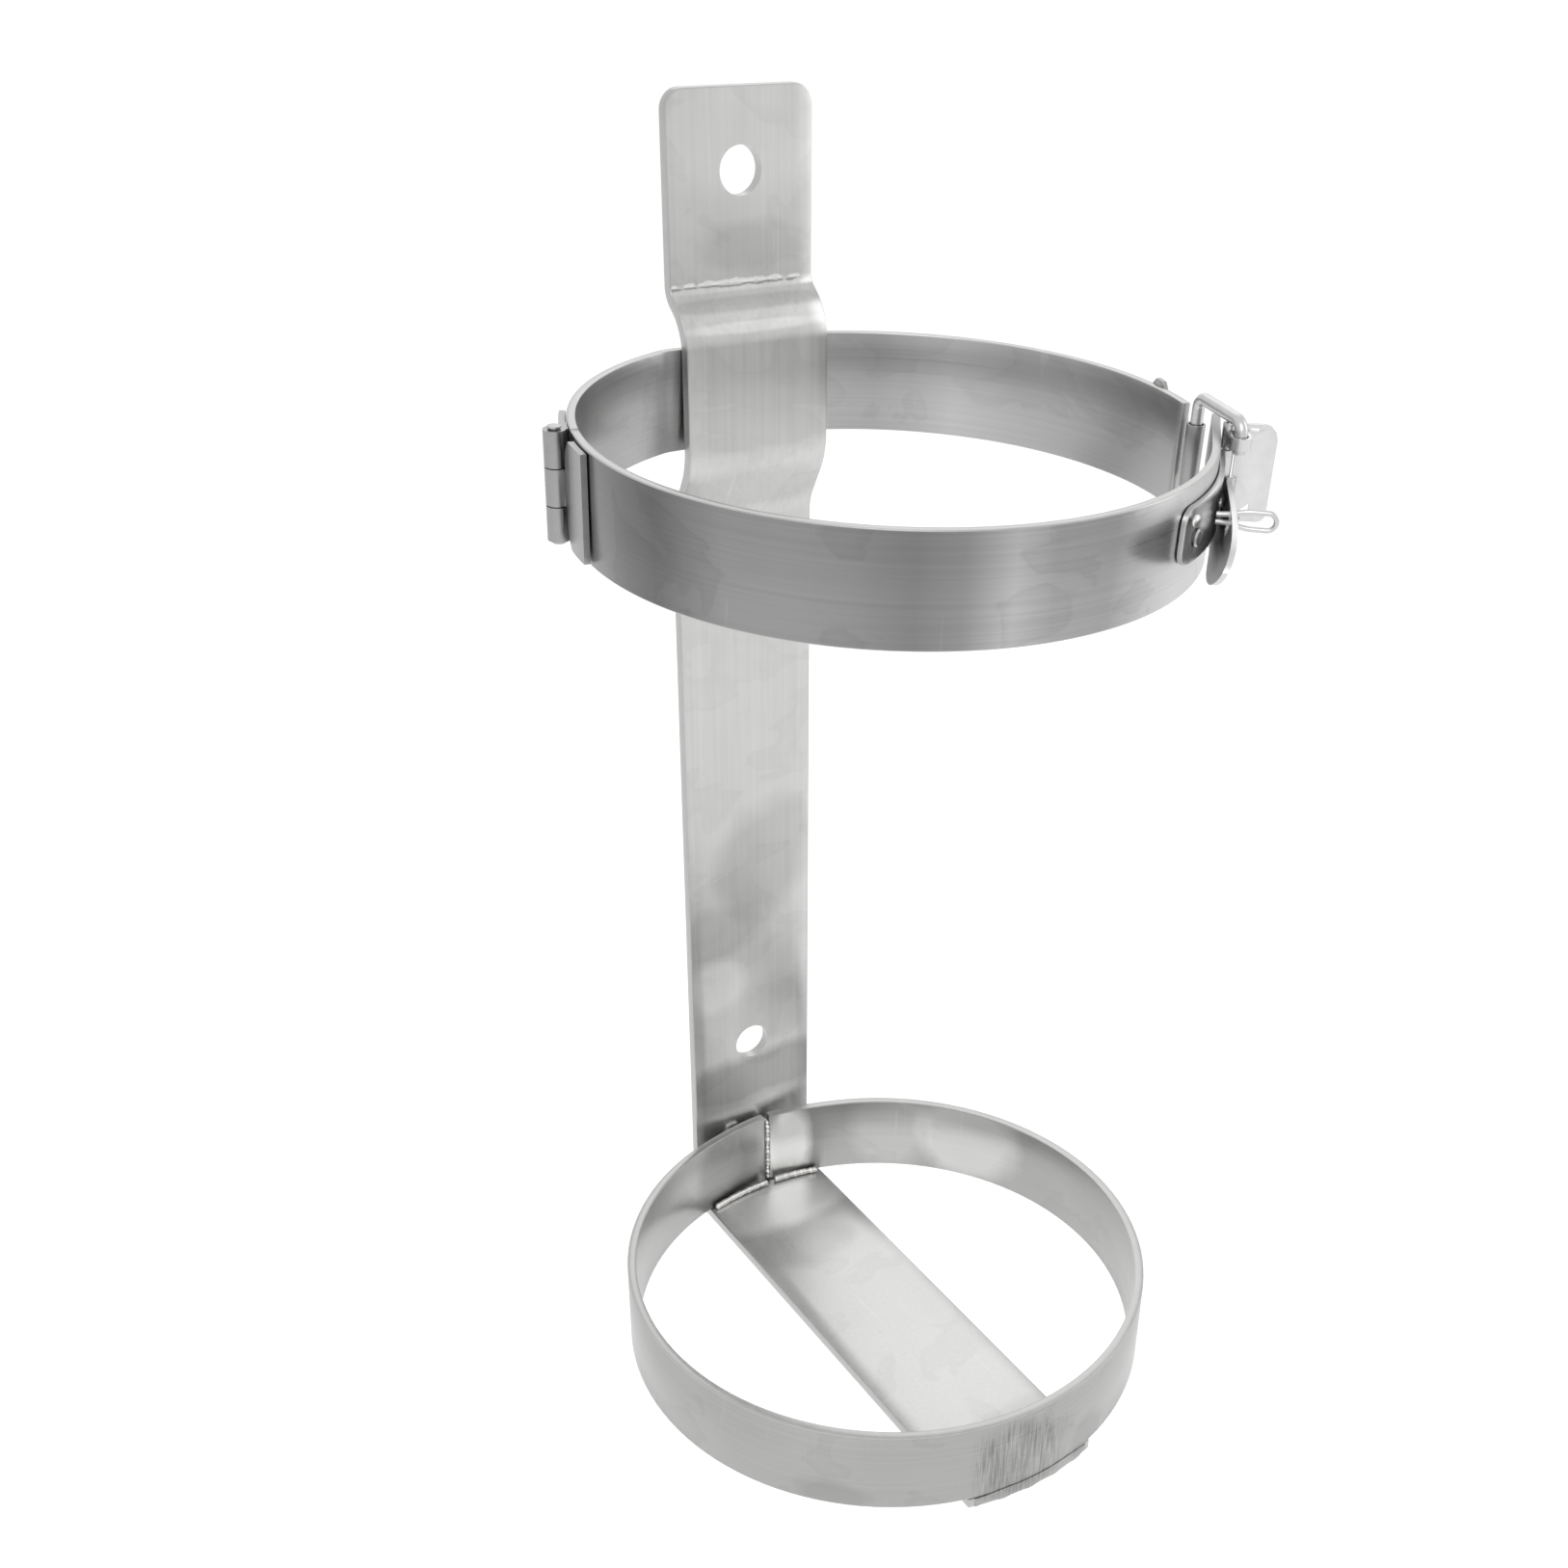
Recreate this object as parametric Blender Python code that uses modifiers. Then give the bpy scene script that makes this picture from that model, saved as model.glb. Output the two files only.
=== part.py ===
# Fire extinguisher bracket: flat wall strap, cradle ring, hinged band and toggle latch.
# Metres, +Z up, the wall on the +Y side, floor strap underside at Z = 0 on the cradle axis.
import math

import bmesh
import bpy
from mathutils import Matrix, Vector

MM = 0.001

# Clearances
SEAT = 0.30 * MM
RUN = 0.30 * MM

# Flat bar strap
STRAP_W = 40.0 * MM
STRAP_T = 3.0 * MM
LEG_Y = 75.55 * MM
BUMP_Y = 67.6 * MM
STRAP_TOP = 323.9 * MM
BUMP_Z = (222.0 * MM, 236.3 * MM, 272.0 * MM, 278.5 * MM)
FLOOR_BEND_R = 2.4 * MM
TAB_CORNER_R = 5.0 * MM
HOLE_TOP_D = 11.5 * MM
HOLE_TOP_Z = 305.2 * MM
HOLE_LOW_D = 11.0 * MM
HOLE_LOW_Z = 55.0 * MM

# Cradle ring
RING_R = 73.0 * MM
RING_T = 2.5 * MM
RING_H = 24.5 * MM
RING_Z = STRAP_T + SEAT
SEAM_ANG = 84.6
SEAM_HALF = 1.0 * MM

# Hinged band, drawn in its own frame and hung a little nose down
BAND_C = Vector((-1.9, 5.6, 238.3)) * MM
BAND_TILT = math.radians(2.55)
BAND_R = 72.0 * MM
BAND_FLAT = 68.5 * MM
BAND_T = 2.0 * MM
BAND_H = 25.0 * MM
REAR_END = -16.8
TAN_ANG = -42.0
FRONT_END = -23.5
JOINT_GAP = 0.25

# Side hinge
HINGE_ANG = 163.0
BARREL_R = 2.5 * MM
HINGE_R = BAND_R + BARREL_R + 0.7 * MM
LEAF_T = 1.4 * MM
LEAF_L = 15.5 * MM
PIN_R = 1.0 * MM
BARREL_Z = (0.8 * MM, 8.8 * MM, 17.0 * MM, 25.2 * MM)
LEAF_CHAMFER = 3.5 * MM

# Latch
SHEET = 1.2 * MM
KNUCKLE_R = 1.6 * MM
KNUCKLE_SEAT = 0.42 * MM
KNUCKLE_Z = (9.0 * MM, 20.0 * MM)
KNUCKLE_CLEAR = 0.4 * MM
PIVOT_ALONG = 14.3 * MM
LEVER_PIN_R = 0.7 * MM
LEVER_Z = (3.5 * MM, 26.0 * MM)
BASE_Z = (8.2 * MM, 20.8 * MM)
BASE_NEAR = -68.6
PLATE_AZ = -34.5
PLATE_OUT = 11.0 * MM
TONGUE_AZ = -130.8
TONGUE_L = 59.0 * MM
TONGUE_ROOT = (8.4 * MM, 14.0 * MM)
TONGUE_Z = (6.0 * MM, 18.4 * MM)
TONGUE_TAPER = 21.0 * MM
TONGUE_LEAN = 2.6 * MM
TONGUE_BOW = 1.4 * MM
TONGUE_DISH = 1.6 * MM
EYE_AZ = -110.0
EYE_REACH = 6.3 * MM
WIRE_R = 1.45 * MM
BAIL_Z = (-1.85 * MM, 27.8 * MM)
BAIL_EYE_R = 2.55 * MM
EYE_LOW_Z = (3.5 * MM, 6.2 * MM)
EYE_TOP_Z = (22.1 * MM, 24.8 * MM)
ROLLER_ANG = -20.4
ROLLER_R = 2.2 * MM
ROLLER_Z = (6.7 * MM, 21.5 * MM)
STAPLE_ANG = -54.6
STAPLE_AZ = -41.0
STAPLE_L = 13.4 * MM
STAPLE_Z = 14.3 * MM
STAPLE_NECK = 0.8 * MM
STAPLE_HALF = 1.9 * MM
STAPLE_WIRE_R = 0.6 * MM
STRIKE_FROM = 8.0
STRIKE_TO = -6.5
HOOK_R = 2.5 * MM
RIVET_R = 1.2 * MM
RIVET_HEAD_R = 2.0 * MM

FULL = "fire extinguisher bracket"


def clear_scene():
    for ob in list(bpy.data.objects):
        bpy.data.objects.remove(ob, do_unlink=True)


def collection(name, hidden=False):
    col = bpy.data.collections.new(name)
    bpy.context.scene.collection.children.link(col)
    col.hide_render = hidden
    return col


clear_scene()
PARTS = collection(FULL)
CUTTERS = collection("cutters", True)


def deg(a):
    return math.radians(a)


def polar(a, r, z=0.0):
    return Vector((r * math.cos(deg(a)), r * math.sin(deg(a)), z))


def material(name, color, rough):
    mat = bpy.data.materials.new(name)
    mat.use_nodes = True
    bsdf = mat.node_tree.nodes["Principled BSDF"]
    bsdf.inputs["Base Color"].default_value = (*color, 1.0)
    bsdf.inputs["Metallic"].default_value = 1.0
    bsdf.inputs["Roughness"].default_value = rough
    return mat


def new_object(name, mesh, col=None):
    ob = bpy.data.objects.new(name, mesh)
    (col or PARTS).objects.link(ob)
    return ob


def mesh_from(name, bm):
    bmesh.ops.recalc_face_normals(bm, faces=bm.faces[:])
    me = bpy.data.meshes.new(name)
    bm.to_mesh(me)
    bm.free()
    return me


def finish(ob, color, rough, smooth=30.0):
    ob.data.materials.clear()
    ob.data.materials.append(material(ob.name + "_steel", color, rough))
    ob.data.shade_smooth()
    ob.data.set_sharp_from_angle(angle=deg(smooth))
    return ob


def rounded(points, radii, steps=6):
    # plan outline with each corner turned to the given radius
    out = []
    n = len(points)
    for i, p in enumerate(points):
        r = radii[i]
        if r <= 0.0 or i in (0, n - 1):
            out.append(Vector(p))
            continue
        a = (Vector(points[i - 1]) - Vector(p)).normalized()
        b = (Vector(points[(i + 1) % n]) - Vector(p)).normalized()
        half = a.angle(b) / 2.0
        reach = r / math.tan(half)
        centre = Vector(p) + (a + b).normalized() * (r / math.sin(half))
        start = Vector(p) + a * reach - centre
        end = Vector(p) + b * reach - centre
        for k in range(steps + 1):
            t = k / steps
            out.append(centre + start.normalized().slerp(end.normalized(), t) * r)
    return out


def sheet(name, path, rise, thick, side, bevel, col=None):
    # a line of edges drawn out into a wall, then given its thickness
    bm = bmesh.new()
    verts = [bm.verts.new(p) for p in path]
    edges = [bm.edges.new((verts[i], verts[i + 1])) for i in range(len(verts) - 1)]
    res = bmesh.ops.extrude_edge_only(bm, edges=edges)
    moved = [g for g in res["geom"] if isinstance(g, bmesh.types.BMVert)]
    bmesh.ops.translate(bm, verts=moved, vec=rise)
    me = bpy.data.meshes.new(name)
    bm.to_mesh(me)
    bm.free()
    ob = new_object(name, me, col)
    sol = ob.modifiers.new("thickness", "SOLIDIFY")
    sol.thickness = thick
    sol.offset = side
    sol.use_even_offset = True
    if bevel > 0.0:
        edge_bevel(ob, bevel)
    return ob


def edge_bevel(ob, width, segments=1, angle=50.0):
    bev = ob.modifiers.new("edges", "BEVEL")
    bev.width = width
    bev.segments = segments
    bev.limit_method = "ANGLE"
    bev.angle_limit = deg(angle)
    bev.use_clamp_overlap = True
    return bev


def cylinder(name, radius, depth, segments=24, col=None):
    bm = bmesh.new()
    bmesh.ops.create_cone(bm, cap_ends=True, segments=segments, radius1=radius,
                          radius2=radius, depth=depth)
    return new_object(name, mesh_from(name, bm), col)


def block(name, size, col=None):
    bm = bmesh.new()
    bmesh.ops.create_cube(bm, size=1.0)
    bmesh.ops.scale(bm, vec=size, verts=bm.verts[:])
    return new_object(name, mesh_from(name, bm), col)


def flat_outline(name, pts, thick, col=None):
    # closed flat outline given thickness about its own plane
    cu = bpy.data.curves.new(name, "CURVE")
    cu.dimensions = "2D"
    cu.fill_mode = "BOTH"
    cu.extrude = thick / 2.0
    sp = cu.splines.new("POLY")
    sp.points.add(len(pts) - 1)
    for i, p in enumerate(pts):
        sp.points[i].co = (p[0], p[1], 0.0, 1.0)
    sp.use_cyclic_u = True
    return curve_to_mesh(name, cu, col)


def curve_to_mesh(name, cu, col=None):
    src = bpy.data.objects.new(name + "_line", cu)
    bpy.context.scene.collection.objects.link(src)
    bpy.context.view_layer.update()
    deps = bpy.context.evaluated_depsgraph_get()
    me = bpy.data.meshes.new_from_object(src.evaluated_get(deps))
    bm = bmesh.new()
    bm.from_mesh(me)
    bmesh.ops.remove_doubles(bm, verts=bm.verts[:], dist=1e-7)
    bmesh.ops.recalc_face_normals(bm, faces=bm.faces[:])
    bm.to_mesh(me)
    bm.free()
    me.name = name
    bpy.data.objects.remove(src, do_unlink=True)
    bpy.data.curves.remove(cu)
    return new_object(name, me, col)


def wire(name, pts, radius, col=None, resolution=3):
    cu = bpy.data.curves.new(name, "CURVE")
    cu.dimensions = "3D"
    cu.bevel_depth = radius
    cu.bevel_resolution = resolution
    cu.use_fill_caps = True
    sp = cu.splines.new("POLY")
    sp.points.add(len(pts) - 1)
    for i, p in enumerate(pts):
        sp.points[i].co = (p[0], p[1], p[2], 1.0)
    return curve_to_mesh(name, cu, col)


def lathe(name, profile, steps=24, hollow=False):
    # profile of (radius, height) from top to bottom turned about the upright axis
    bm = bmesh.new()
    verts = [bm.verts.new((r, 0.0, z)) for r, z in profile]
    for i in range(len(verts) - 1):
        bm.edges.new((verts[i], verts[i + 1]))
    if hollow:
        bm.edges.new((verts[-1], verts[0]))
    me = bpy.data.meshes.new(name)
    bm.to_mesh(me)
    bm.free()
    ob = new_object(name, me)
    scr = ob.modifiers.new("turn", "SCREW")
    scr.axis = "Z"
    scr.steps = steps
    scr.render_steps = steps
    scr.use_merge_vertices = True
    scr.merge_threshold = 1e-6
    scr.use_normal_calculate = True
    return ob


def set_basis(ob, loc, xdir, ydir, zdir):
    m = Matrix((xdir, ydir, zdir)).transposed().to_4x4()
    m.translation = loc
    ob.matrix_world = m


def combine(ob, other, how):
    mod = ob.modifiers.new(how.lower(), "BOOLEAN")
    mod.operation = how
    mod.solver = "EXACT"
    mod.object = other
    other.display_type = "WIRE"
    other.hide_render = True


def hand_over(ob):
    # settle the modifiers so that the piece can be turned about its own joint
    bpy.context.view_layer.update()
    deps = bpy.context.evaluated_depsgraph_get()
    me = bpy.data.meshes.new_from_object(ob.evaluated_get(deps))
    bm = bmesh.new()
    bm.from_mesh(me)
    bmesh.ops.recalc_face_normals(bm, faces=bm.faces[:])
    bm.to_mesh(me)
    bm.free()
    ob.modifiers.clear()
    ob.data = me
    me.name = ob.name


def band_frame():
    return Matrix.Translation(BAND_C) @ Matrix.Rotation(BAND_TILT, 4, "X")


def hang(ob, pivot=None):
    # piece drawn in the band frame: its origin goes to the pivot given
    pivot = Vector((0.0, 0.0, 0.0)) if pivot is None else pivot
    hand_over(ob)
    ob.data.transform(ob.matrix_basis)
    ob.data.transform(Matrix.Translation(-pivot))
    ob.matrix_basis = band_frame() @ Matrix.Translation(pivot)
    return ob


def back_strap():
    z1, z2, z3, z4 = BUMP_Z
    pts = [(0.0, -RING_R - 4.0 * MM, STRAP_T), (0.0, LEG_Y, STRAP_T), (0.0, LEG_Y, z1),
           (0.0, BUMP_Y, z2), (0.0, BUMP_Y, z3), (0.0, LEG_Y, z4), (0.0, LEG_Y, STRAP_TOP + 2 * MM)]
    path = rounded(pts, [0, FLOOR_BEND_R, 6 * MM, 9 * MM, 8 * MM, 2.0 * MM, 0], 7)
    path = [p + Vector((-STRAP_W / 2.0, 0.0, 0.0)) for p in path]
    ob = sheet("back_strap", path, Vector((STRAP_W, 0.0, 0.0)), STRAP_T, -1.0, 0.0)
    for nm, d, z in (("hole_top", HOLE_TOP_D, HOLE_TOP_Z), ("hole_low", HOLE_LOW_D, HOLE_LOW_Z)):
        cut = cylinder("cut_" + nm, d / 2.0, 30.0 * MM, 32, CUTTERS)
        cut.location = (0.0, LEG_Y, z)
        cut.rotation_euler = (math.pi / 2.0, 0.0, 0.0)
        combine(ob, cut, "DIFFERENCE")
    # top of the tab sheared off level, with its two corners turned
    wide = STRAP_W / 2.0 + 3.0 * MM
    outline = [(-wide, STRAP_TOP + 6.0 * MM), (-wide, STRAP_TOP - TAB_CORNER_R)]
    for sx, turn in ((-1, range(1, 9)), (1, range(8, 0, -1))):
        cx = sx * (STRAP_W / 2.0 - TAB_CORNER_R)
        for k in turn:
            a = math.pi / 2.0 * k / 8.0
            outline.append((cx + sx * TAB_CORNER_R * math.cos(a),
                            STRAP_TOP - TAB_CORNER_R + TAB_CORNER_R * math.sin(a)))
    outline += [(wide, STRAP_TOP - TAB_CORNER_R), (wide, STRAP_TOP + 6.0 * MM)]
    cut = flat_outline("cut_top", outline, 30.0 * MM, CUTTERS)
    cut.location = (0.0, LEG_Y, 0.0)
    cut.rotation_euler = (math.pi / 2.0, 0.0, 0.0)
    combine(ob, cut, "DIFFERENCE")
    # floor end ground off to the curve of the ring
    arc = [(RING_R * math.sin(deg(a)), -RING_R * math.cos(deg(a))) for a in range(-24, 25, 2)]
    outline = arc + [(30 * MM, -RING_R - 12 * MM), (-30 * MM, -RING_R - 12 * MM)]
    cut = flat_outline("cut_floor_end", outline, 20.0 * MM, CUTTERS)
    combine(ob, cut, "DIFFERENCE")
    edge_bevel(ob, 0.35 * MM)
    hand_over(ob)
    return finish(ob, (0.62, 0.62, 0.61), 0.34)


def cradle_ring():
    half = math.degrees(SEAM_HALF / RING_R)
    start = SEAM_ANG + half
    steps = 110
    span = 360.0 - 2.0 * half
    path = []
    for i in range(steps + 1):
        a = start + span * i / steps
        off = min(abs(a - SEAM_ANG), abs(a - SEAM_ANG - 360.0))
        kink = 0.7 * MM * max(0.0, 1.0 - off / 14.0)
        path.append(polar(a, RING_R + kink, RING_Z))
    ob = sheet("cradle_ring", path, Vector((0.0, 0.0, RING_H)), RING_T, 1.0, 0.35 * MM)
    hand_over(ob)
    return finish(ob, (0.56, 0.56, 0.55), 0.36)


def bead(name, path, radius, lumps):
    # run of weld: a round wire swollen and pinched along its length
    ob = wire(name, path, radius, None, 2)
    c0 = Vector(path[0])
    run = (Vector(path[-1]) - c0)
    length = run.length
    run.normalize()
    for v in ob.data.vertices:
        along = (v.co - c0).dot(run)
        base = c0 + run * along
        swell = 1.0 + 0.10 * math.sin(along / length * lumps * math.pi * 2.0)
        v.co = base + (v.co - base) * swell
    return ob


def welds():
    seam_r = RING_R - RING_T / 2.0 + 0.7 * MM
    top = RING_Z + RING_H
    pts = [polar(SEAM_ANG, seam_r, RING_Z + 0.6 * MM + (RING_H - 0.8 * MM) * k / 14.0)
           for k in range(15)]
    seam = bead("ring_seam_weld", pts, 1.0 * MM, 5.0)
    seam.data.transform(Matrix.Translation(-pts[0]))
    ang = Matrix.Rotation(deg(SEAM_ANG), 4, "Z")
    seam.data.transform(ang.inverted())
    seam.data.transform(Matrix.Diagonal((1.75, 0.66, 1.0, 1.0)))
    seam.data.transform(ang)
    seam.location = pts[0]
    finish(seam, (0.50, 0.49, 0.47), 0.5, 60.0)
    # run of weld between the back of the ring and the strap face
    y_mid = (RING_R - 0.1 * MM + LEG_Y) / 2.0 - 0.1 * MM
    pts = [Vector((-7.0 * MM, y_mid, z)) for z in
           [RING_Z + 5.0 * MM + (RING_H - 6.4 * MM) * k / 10.0 for k in range(11)]]
    tie = bead("strap_ring_weld", pts, 0.9 * MM, 4.0)
    tie.data.transform(Matrix.Translation(-pts[0]))
    tie.data.transform(Matrix.Diagonal((2.4, 1.0, 1.0, 1.0)))
    tie.location = pts[0]
    finish(tie, (0.50, 0.49, 0.47), 0.5, 60.0)
    # beads between floor strap and the inside foot of the ring
    inner = RING_R - RING_T
    for nm, a0, a1 in (("floor_weld_left", 91.5, 105.3), ("floor_weld_right", 75.0, 82.0)):
        pts = [polar(a0 + (a1 - a0) * k / 10.0, inner - 1.15 * MM, STRAP_T + 1.15 * MM)
               for k in range(11)]
        ob = bead(nm, pts, 0.85 * MM, 6.0)
        finish(ob, (0.52, 0.51, 0.49), 0.48, 60.0)
    # weld over the ground end of the floor strap
    pts = [polar(a, RING_R + SEAT + 0.4 * MM, 0.0) for a in [-104.5 + 29.0 * k / 16.0 for k in range(17)]]
    path = [Vector((p.x, p.y, 0.9 * MM)) for p in pts]
    ob = sheet("front_weld", path, Vector((0.0, 0.0, 5.2 * MM)), 0.8 * MM, 0.0, 0.25 * MM)
    hand_over(ob)
    finish(ob, (0.45, 0.45, 0.44), 0.5)


def on_tip(along, lift, z=0.0):
    # spot on the straight tip of the front band: along it and out from its outer face
    out = polar(TAN_ANG, 1.0)
    run = Vector((-out.y, out.x, 0.0))
    return out * (BAND_R + lift) + run * along + Vector((0.0, 0.0, z))


def hinge_axis():
    return polar(HINGE_ANG, HINGE_R)


def lever_axis():
    return on_tip(PIVOT_ALONG, KNUCKLE_SEAT + KNUCKLE_R)


def bail_axis():
    return lever_axis() + polar(EYE_AZ, EYE_REACH)


def bail_tip():
    return polar(ROLLER_ANG, BAND_R)


def band_path(a0, a1, steps, straight_tip=False):
    path = []
    for i in range(steps + 1):
        a = a0 + (a1 - a0) * i / steps
        r = BAND_R
        if 60.0 < a < 120.0:
            r = min(r, BAND_FLAT / math.sin(deg(a)))
        if straight_tip and a > TAN_ANG:
            r = BAND_R / math.cos(deg(a - TAN_ANG))
        path.append(polar(a, r, 0.0))
    return path


def rear_band():
    path = band_path(REAR_END, HINGE_ANG - JOINT_GAP, 60)
    ob = sheet("rear_band", path, Vector((0.0, 0.0, BAND_H)), BAND_T, 1.0, 0.3 * MM)
    hang(ob)
    return finish(ob, (0.50, 0.50, 0.50), 0.33)


def front_band():
    path = band_path(HINGE_ANG - 360.0 + JOINT_GAP, FRONT_END, 62, True)
    ob = sheet("front_band", path, Vector((0.0, 0.0, BAND_H)), BAND_T, 1.0, 0.0)
    for a, z in RIVETS:
        cut = cylinder("cut_rivet_%d" % int(-a), RIVET_R + RUN, 12.0 * MM, 16, CUTTERS)
        aim_out(cut, a, BAND_R, z)
        combine(ob, cut, "DIFFERENCE")
    edge_bevel(ob, 0.3 * MM)
    hang(ob, hinge_axis())
    return finish(ob, (0.45, 0.45, 0.45), 0.33)


RIVETS = ((-63.6, 13.4 * MM), (-47.0, 14.2 * MM))


def aim_out(ob, ang, r, z):
    # own Z axis turned to point outward from the band
    out = polar(ang, 1.0)
    side = Vector((0.0, 0.0, 1.0)).cross(out)
    set_basis(ob, polar(ang, r, z), side, out.cross(side), out)


def tube(name, r_out, z0, z1, centre, segments=20):
    ob = cylinder(name, r_out, z1 - z0, segments, CUTTERS)
    ob.location = (centre.x, centre.y, (z0 + z1) / 2.0)
    return ob


def leaf_outline(chamfer_low, sign):
    # leaf unrolled: x along the band away from the barrel, y up
    z0, z1 = 0.6 * MM, BAND_H - 0.6 * MM
    near = 3.1 * MM
    if chamfer_low:
        return [(near, z0 + LEAF_CHAMFER), (near + LEAF_CHAMFER, z0), (LEAF_L, z0),
                (LEAF_L, z1), (near + LEAF_CHAMFER, z1), (near, z1 - LEAF_CHAMFER)]
    return [(near, z0), (LEAF_L, z0), (LEAF_L, z1), (near, z1)]


def rolled_plate(name, outline, place, thick, col=None, steps=14):
    # flat outline cut into strips and laid round the band: place turns (x, out) into plan
    xs = [p[0] for p in outline]
    x0, x1 = min(xs), max(xs)
    ob = flat_outline(name, outline, thick, col)
    bm = bmesh.new()
    bm.from_mesh(ob.data)
    for k in range(1, steps):
        x = x0 + (x1 - x0) * k / steps
        geom = bm.verts[:] + bm.edges[:] + bm.faces[:]
        bmesh.ops.bisect_plane(bm, geom=geom, plane_co=(x, 0.0, 0.0), plane_no=(1.0, 0.0, 0.0),
                               dist=1e-7)
    for v in bm.verts:
        spot = place(v.co.x, v.co.z)
        v.co = Vector((spot.x, spot.y, v.co.y))
    bmesh.ops.recalc_face_normals(bm, faces=bm.faces[:])
    bm.to_mesh(ob.data)
    bm.free()
    return ob


def round_band(ang0, thick, sign):
    # x is arc length from ang0 along a sheet seated on the band
    rm = BAND_R + SEAT + thick / 2.0

    def place(x, out):
        return polar(ang0 + sign * math.degrees(x / rm), rm + out)
    return place


def back_from_pivot(thick):
    # x runs from the lever pivot down the straight tip and then round the band
    rm = BAND_R + SEAT + thick / 2.0

    def place(x, out):
        if x <= PIVOT_ALONG:
            return on_tip(PIVOT_ALONG - x, SEAT + thick / 2.0 + out)
        return polar(TAN_ANG - math.degrees((x - PIVOT_ALONG) / rm), rm + out)
    return place


def hinge():
    axis = hinge_axis()
    za, zb, zc, zd = BARREL_Z
    gap = 0.25 * MM
    fixed_spans = ((za, zb - gap), (zc + gap, zd))
    moving_spans = ((zb, zc),)
    for nm, sign, spans in (("hinge_leaf_fixed", -1, fixed_spans), ("hinge_leaf_moving", 1, moving_spans)):
        place = round_band(HINGE_ANG, LEAF_T, sign)
        ob = rolled_plate(nm, leaf_outline(True, sign), place, LEAF_T)
        for i, (z0, z1) in enumerate(spans):
            web = rolled_plate("%s_web_%d" % (nm, i), [(-0.4 * MM, z0), (4.0 * MM, z0), (4.0 * MM, z1),
                               (-0.4 * MM, z1)], place, LEAF_T, CUTTERS, 4)
            combine(ob, web, "UNION")
            combine(ob, tube("%s_roll_%d" % (nm, i), BARREL_R, z0, z1, axis), "UNION")
        bore = tube(nm + "_bore", PIN_R + RUN, za - 5 * MM, zd + 5 * MM, axis, 16)
        combine(ob, bore, "DIFFERENCE")
        edge_bevel(ob, 0.2 * MM, 1, 60.0)
        hang(ob, axis if sign > 0 else None)
        finish(ob, (0.48, 0.48, 0.48), 0.36)
    pin = lathe("hinge_pin", [(0.0, zd + 1.0 * MM), (1.5 * MM, zd + 0.7 * MM), (1.5 * MM, zd + 0.3 * MM),
                              (PIN_R, zd + 0.3 * MM), (PIN_R, za - 0.3 * MM), (1.5 * MM, za - 0.3 * MM),
                              (1.5 * MM, za - 0.7 * MM), (0.0, za - 1.0 * MM)], 16)
    pin.location = axis
    hang(pin)
    finish(pin, (0.55, 0.55, 0.55), 0.3)


def strike():
    # catch plate on the rear band with its hook turned back from the latch
    r0 = BAND_R + SEAT
    z0, z1 = 5.0 * MM, 17.5 * MM
    pts = [polar(STRIKE_FROM + (STRIKE_TO - STRIKE_FROM) * k / 7.0, r0 + SHEET, z0) for k in range(8)]
    c = polar(STRIKE_TO, r0 + SHEET + HOOK_R, z0)
    start = pts[-1] - c
    for k in range(1, 9):
        pts.append(c + Matrix.Rotation(math.pi * k / 8.0, 3, "Z") @ start)
    pts.append(polar(STRIKE_TO + 2.6, r0 + SHEET + 2.0 * HOOK_R + 0.3 * MM, z0))
    ob = sheet("strike_hook", pts, Vector((0.0, 0.0, z1 - z0)), SHEET, -1.0, 0.0)
    ear = [(3.4 * MM, 12.0 * MM), (7.4 * MM, 12.0 * MM), (8.4 * MM, 20.0 * MM), (8.4 * MM, 24.2 * MM),
           (7.2 * MM, 25.9 * MM), (4.8 * MM, 26.2 * MM), (3.4 * MM, 24.6 * MM)]
    tab = rolled_plate("strike_ear", ear, round_band(0.0, SHEET - 0.04 * MM, -1), SHEET - 0.04 * MM,
                       CUTTERS, 5)
    combine(ob, tab, "UNION")
    edge_bevel(ob, 0.15 * MM, 1, 60.0)
    hang(ob)
    finish(ob, (0.42, 0.42, 0.42), 0.38)


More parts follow.
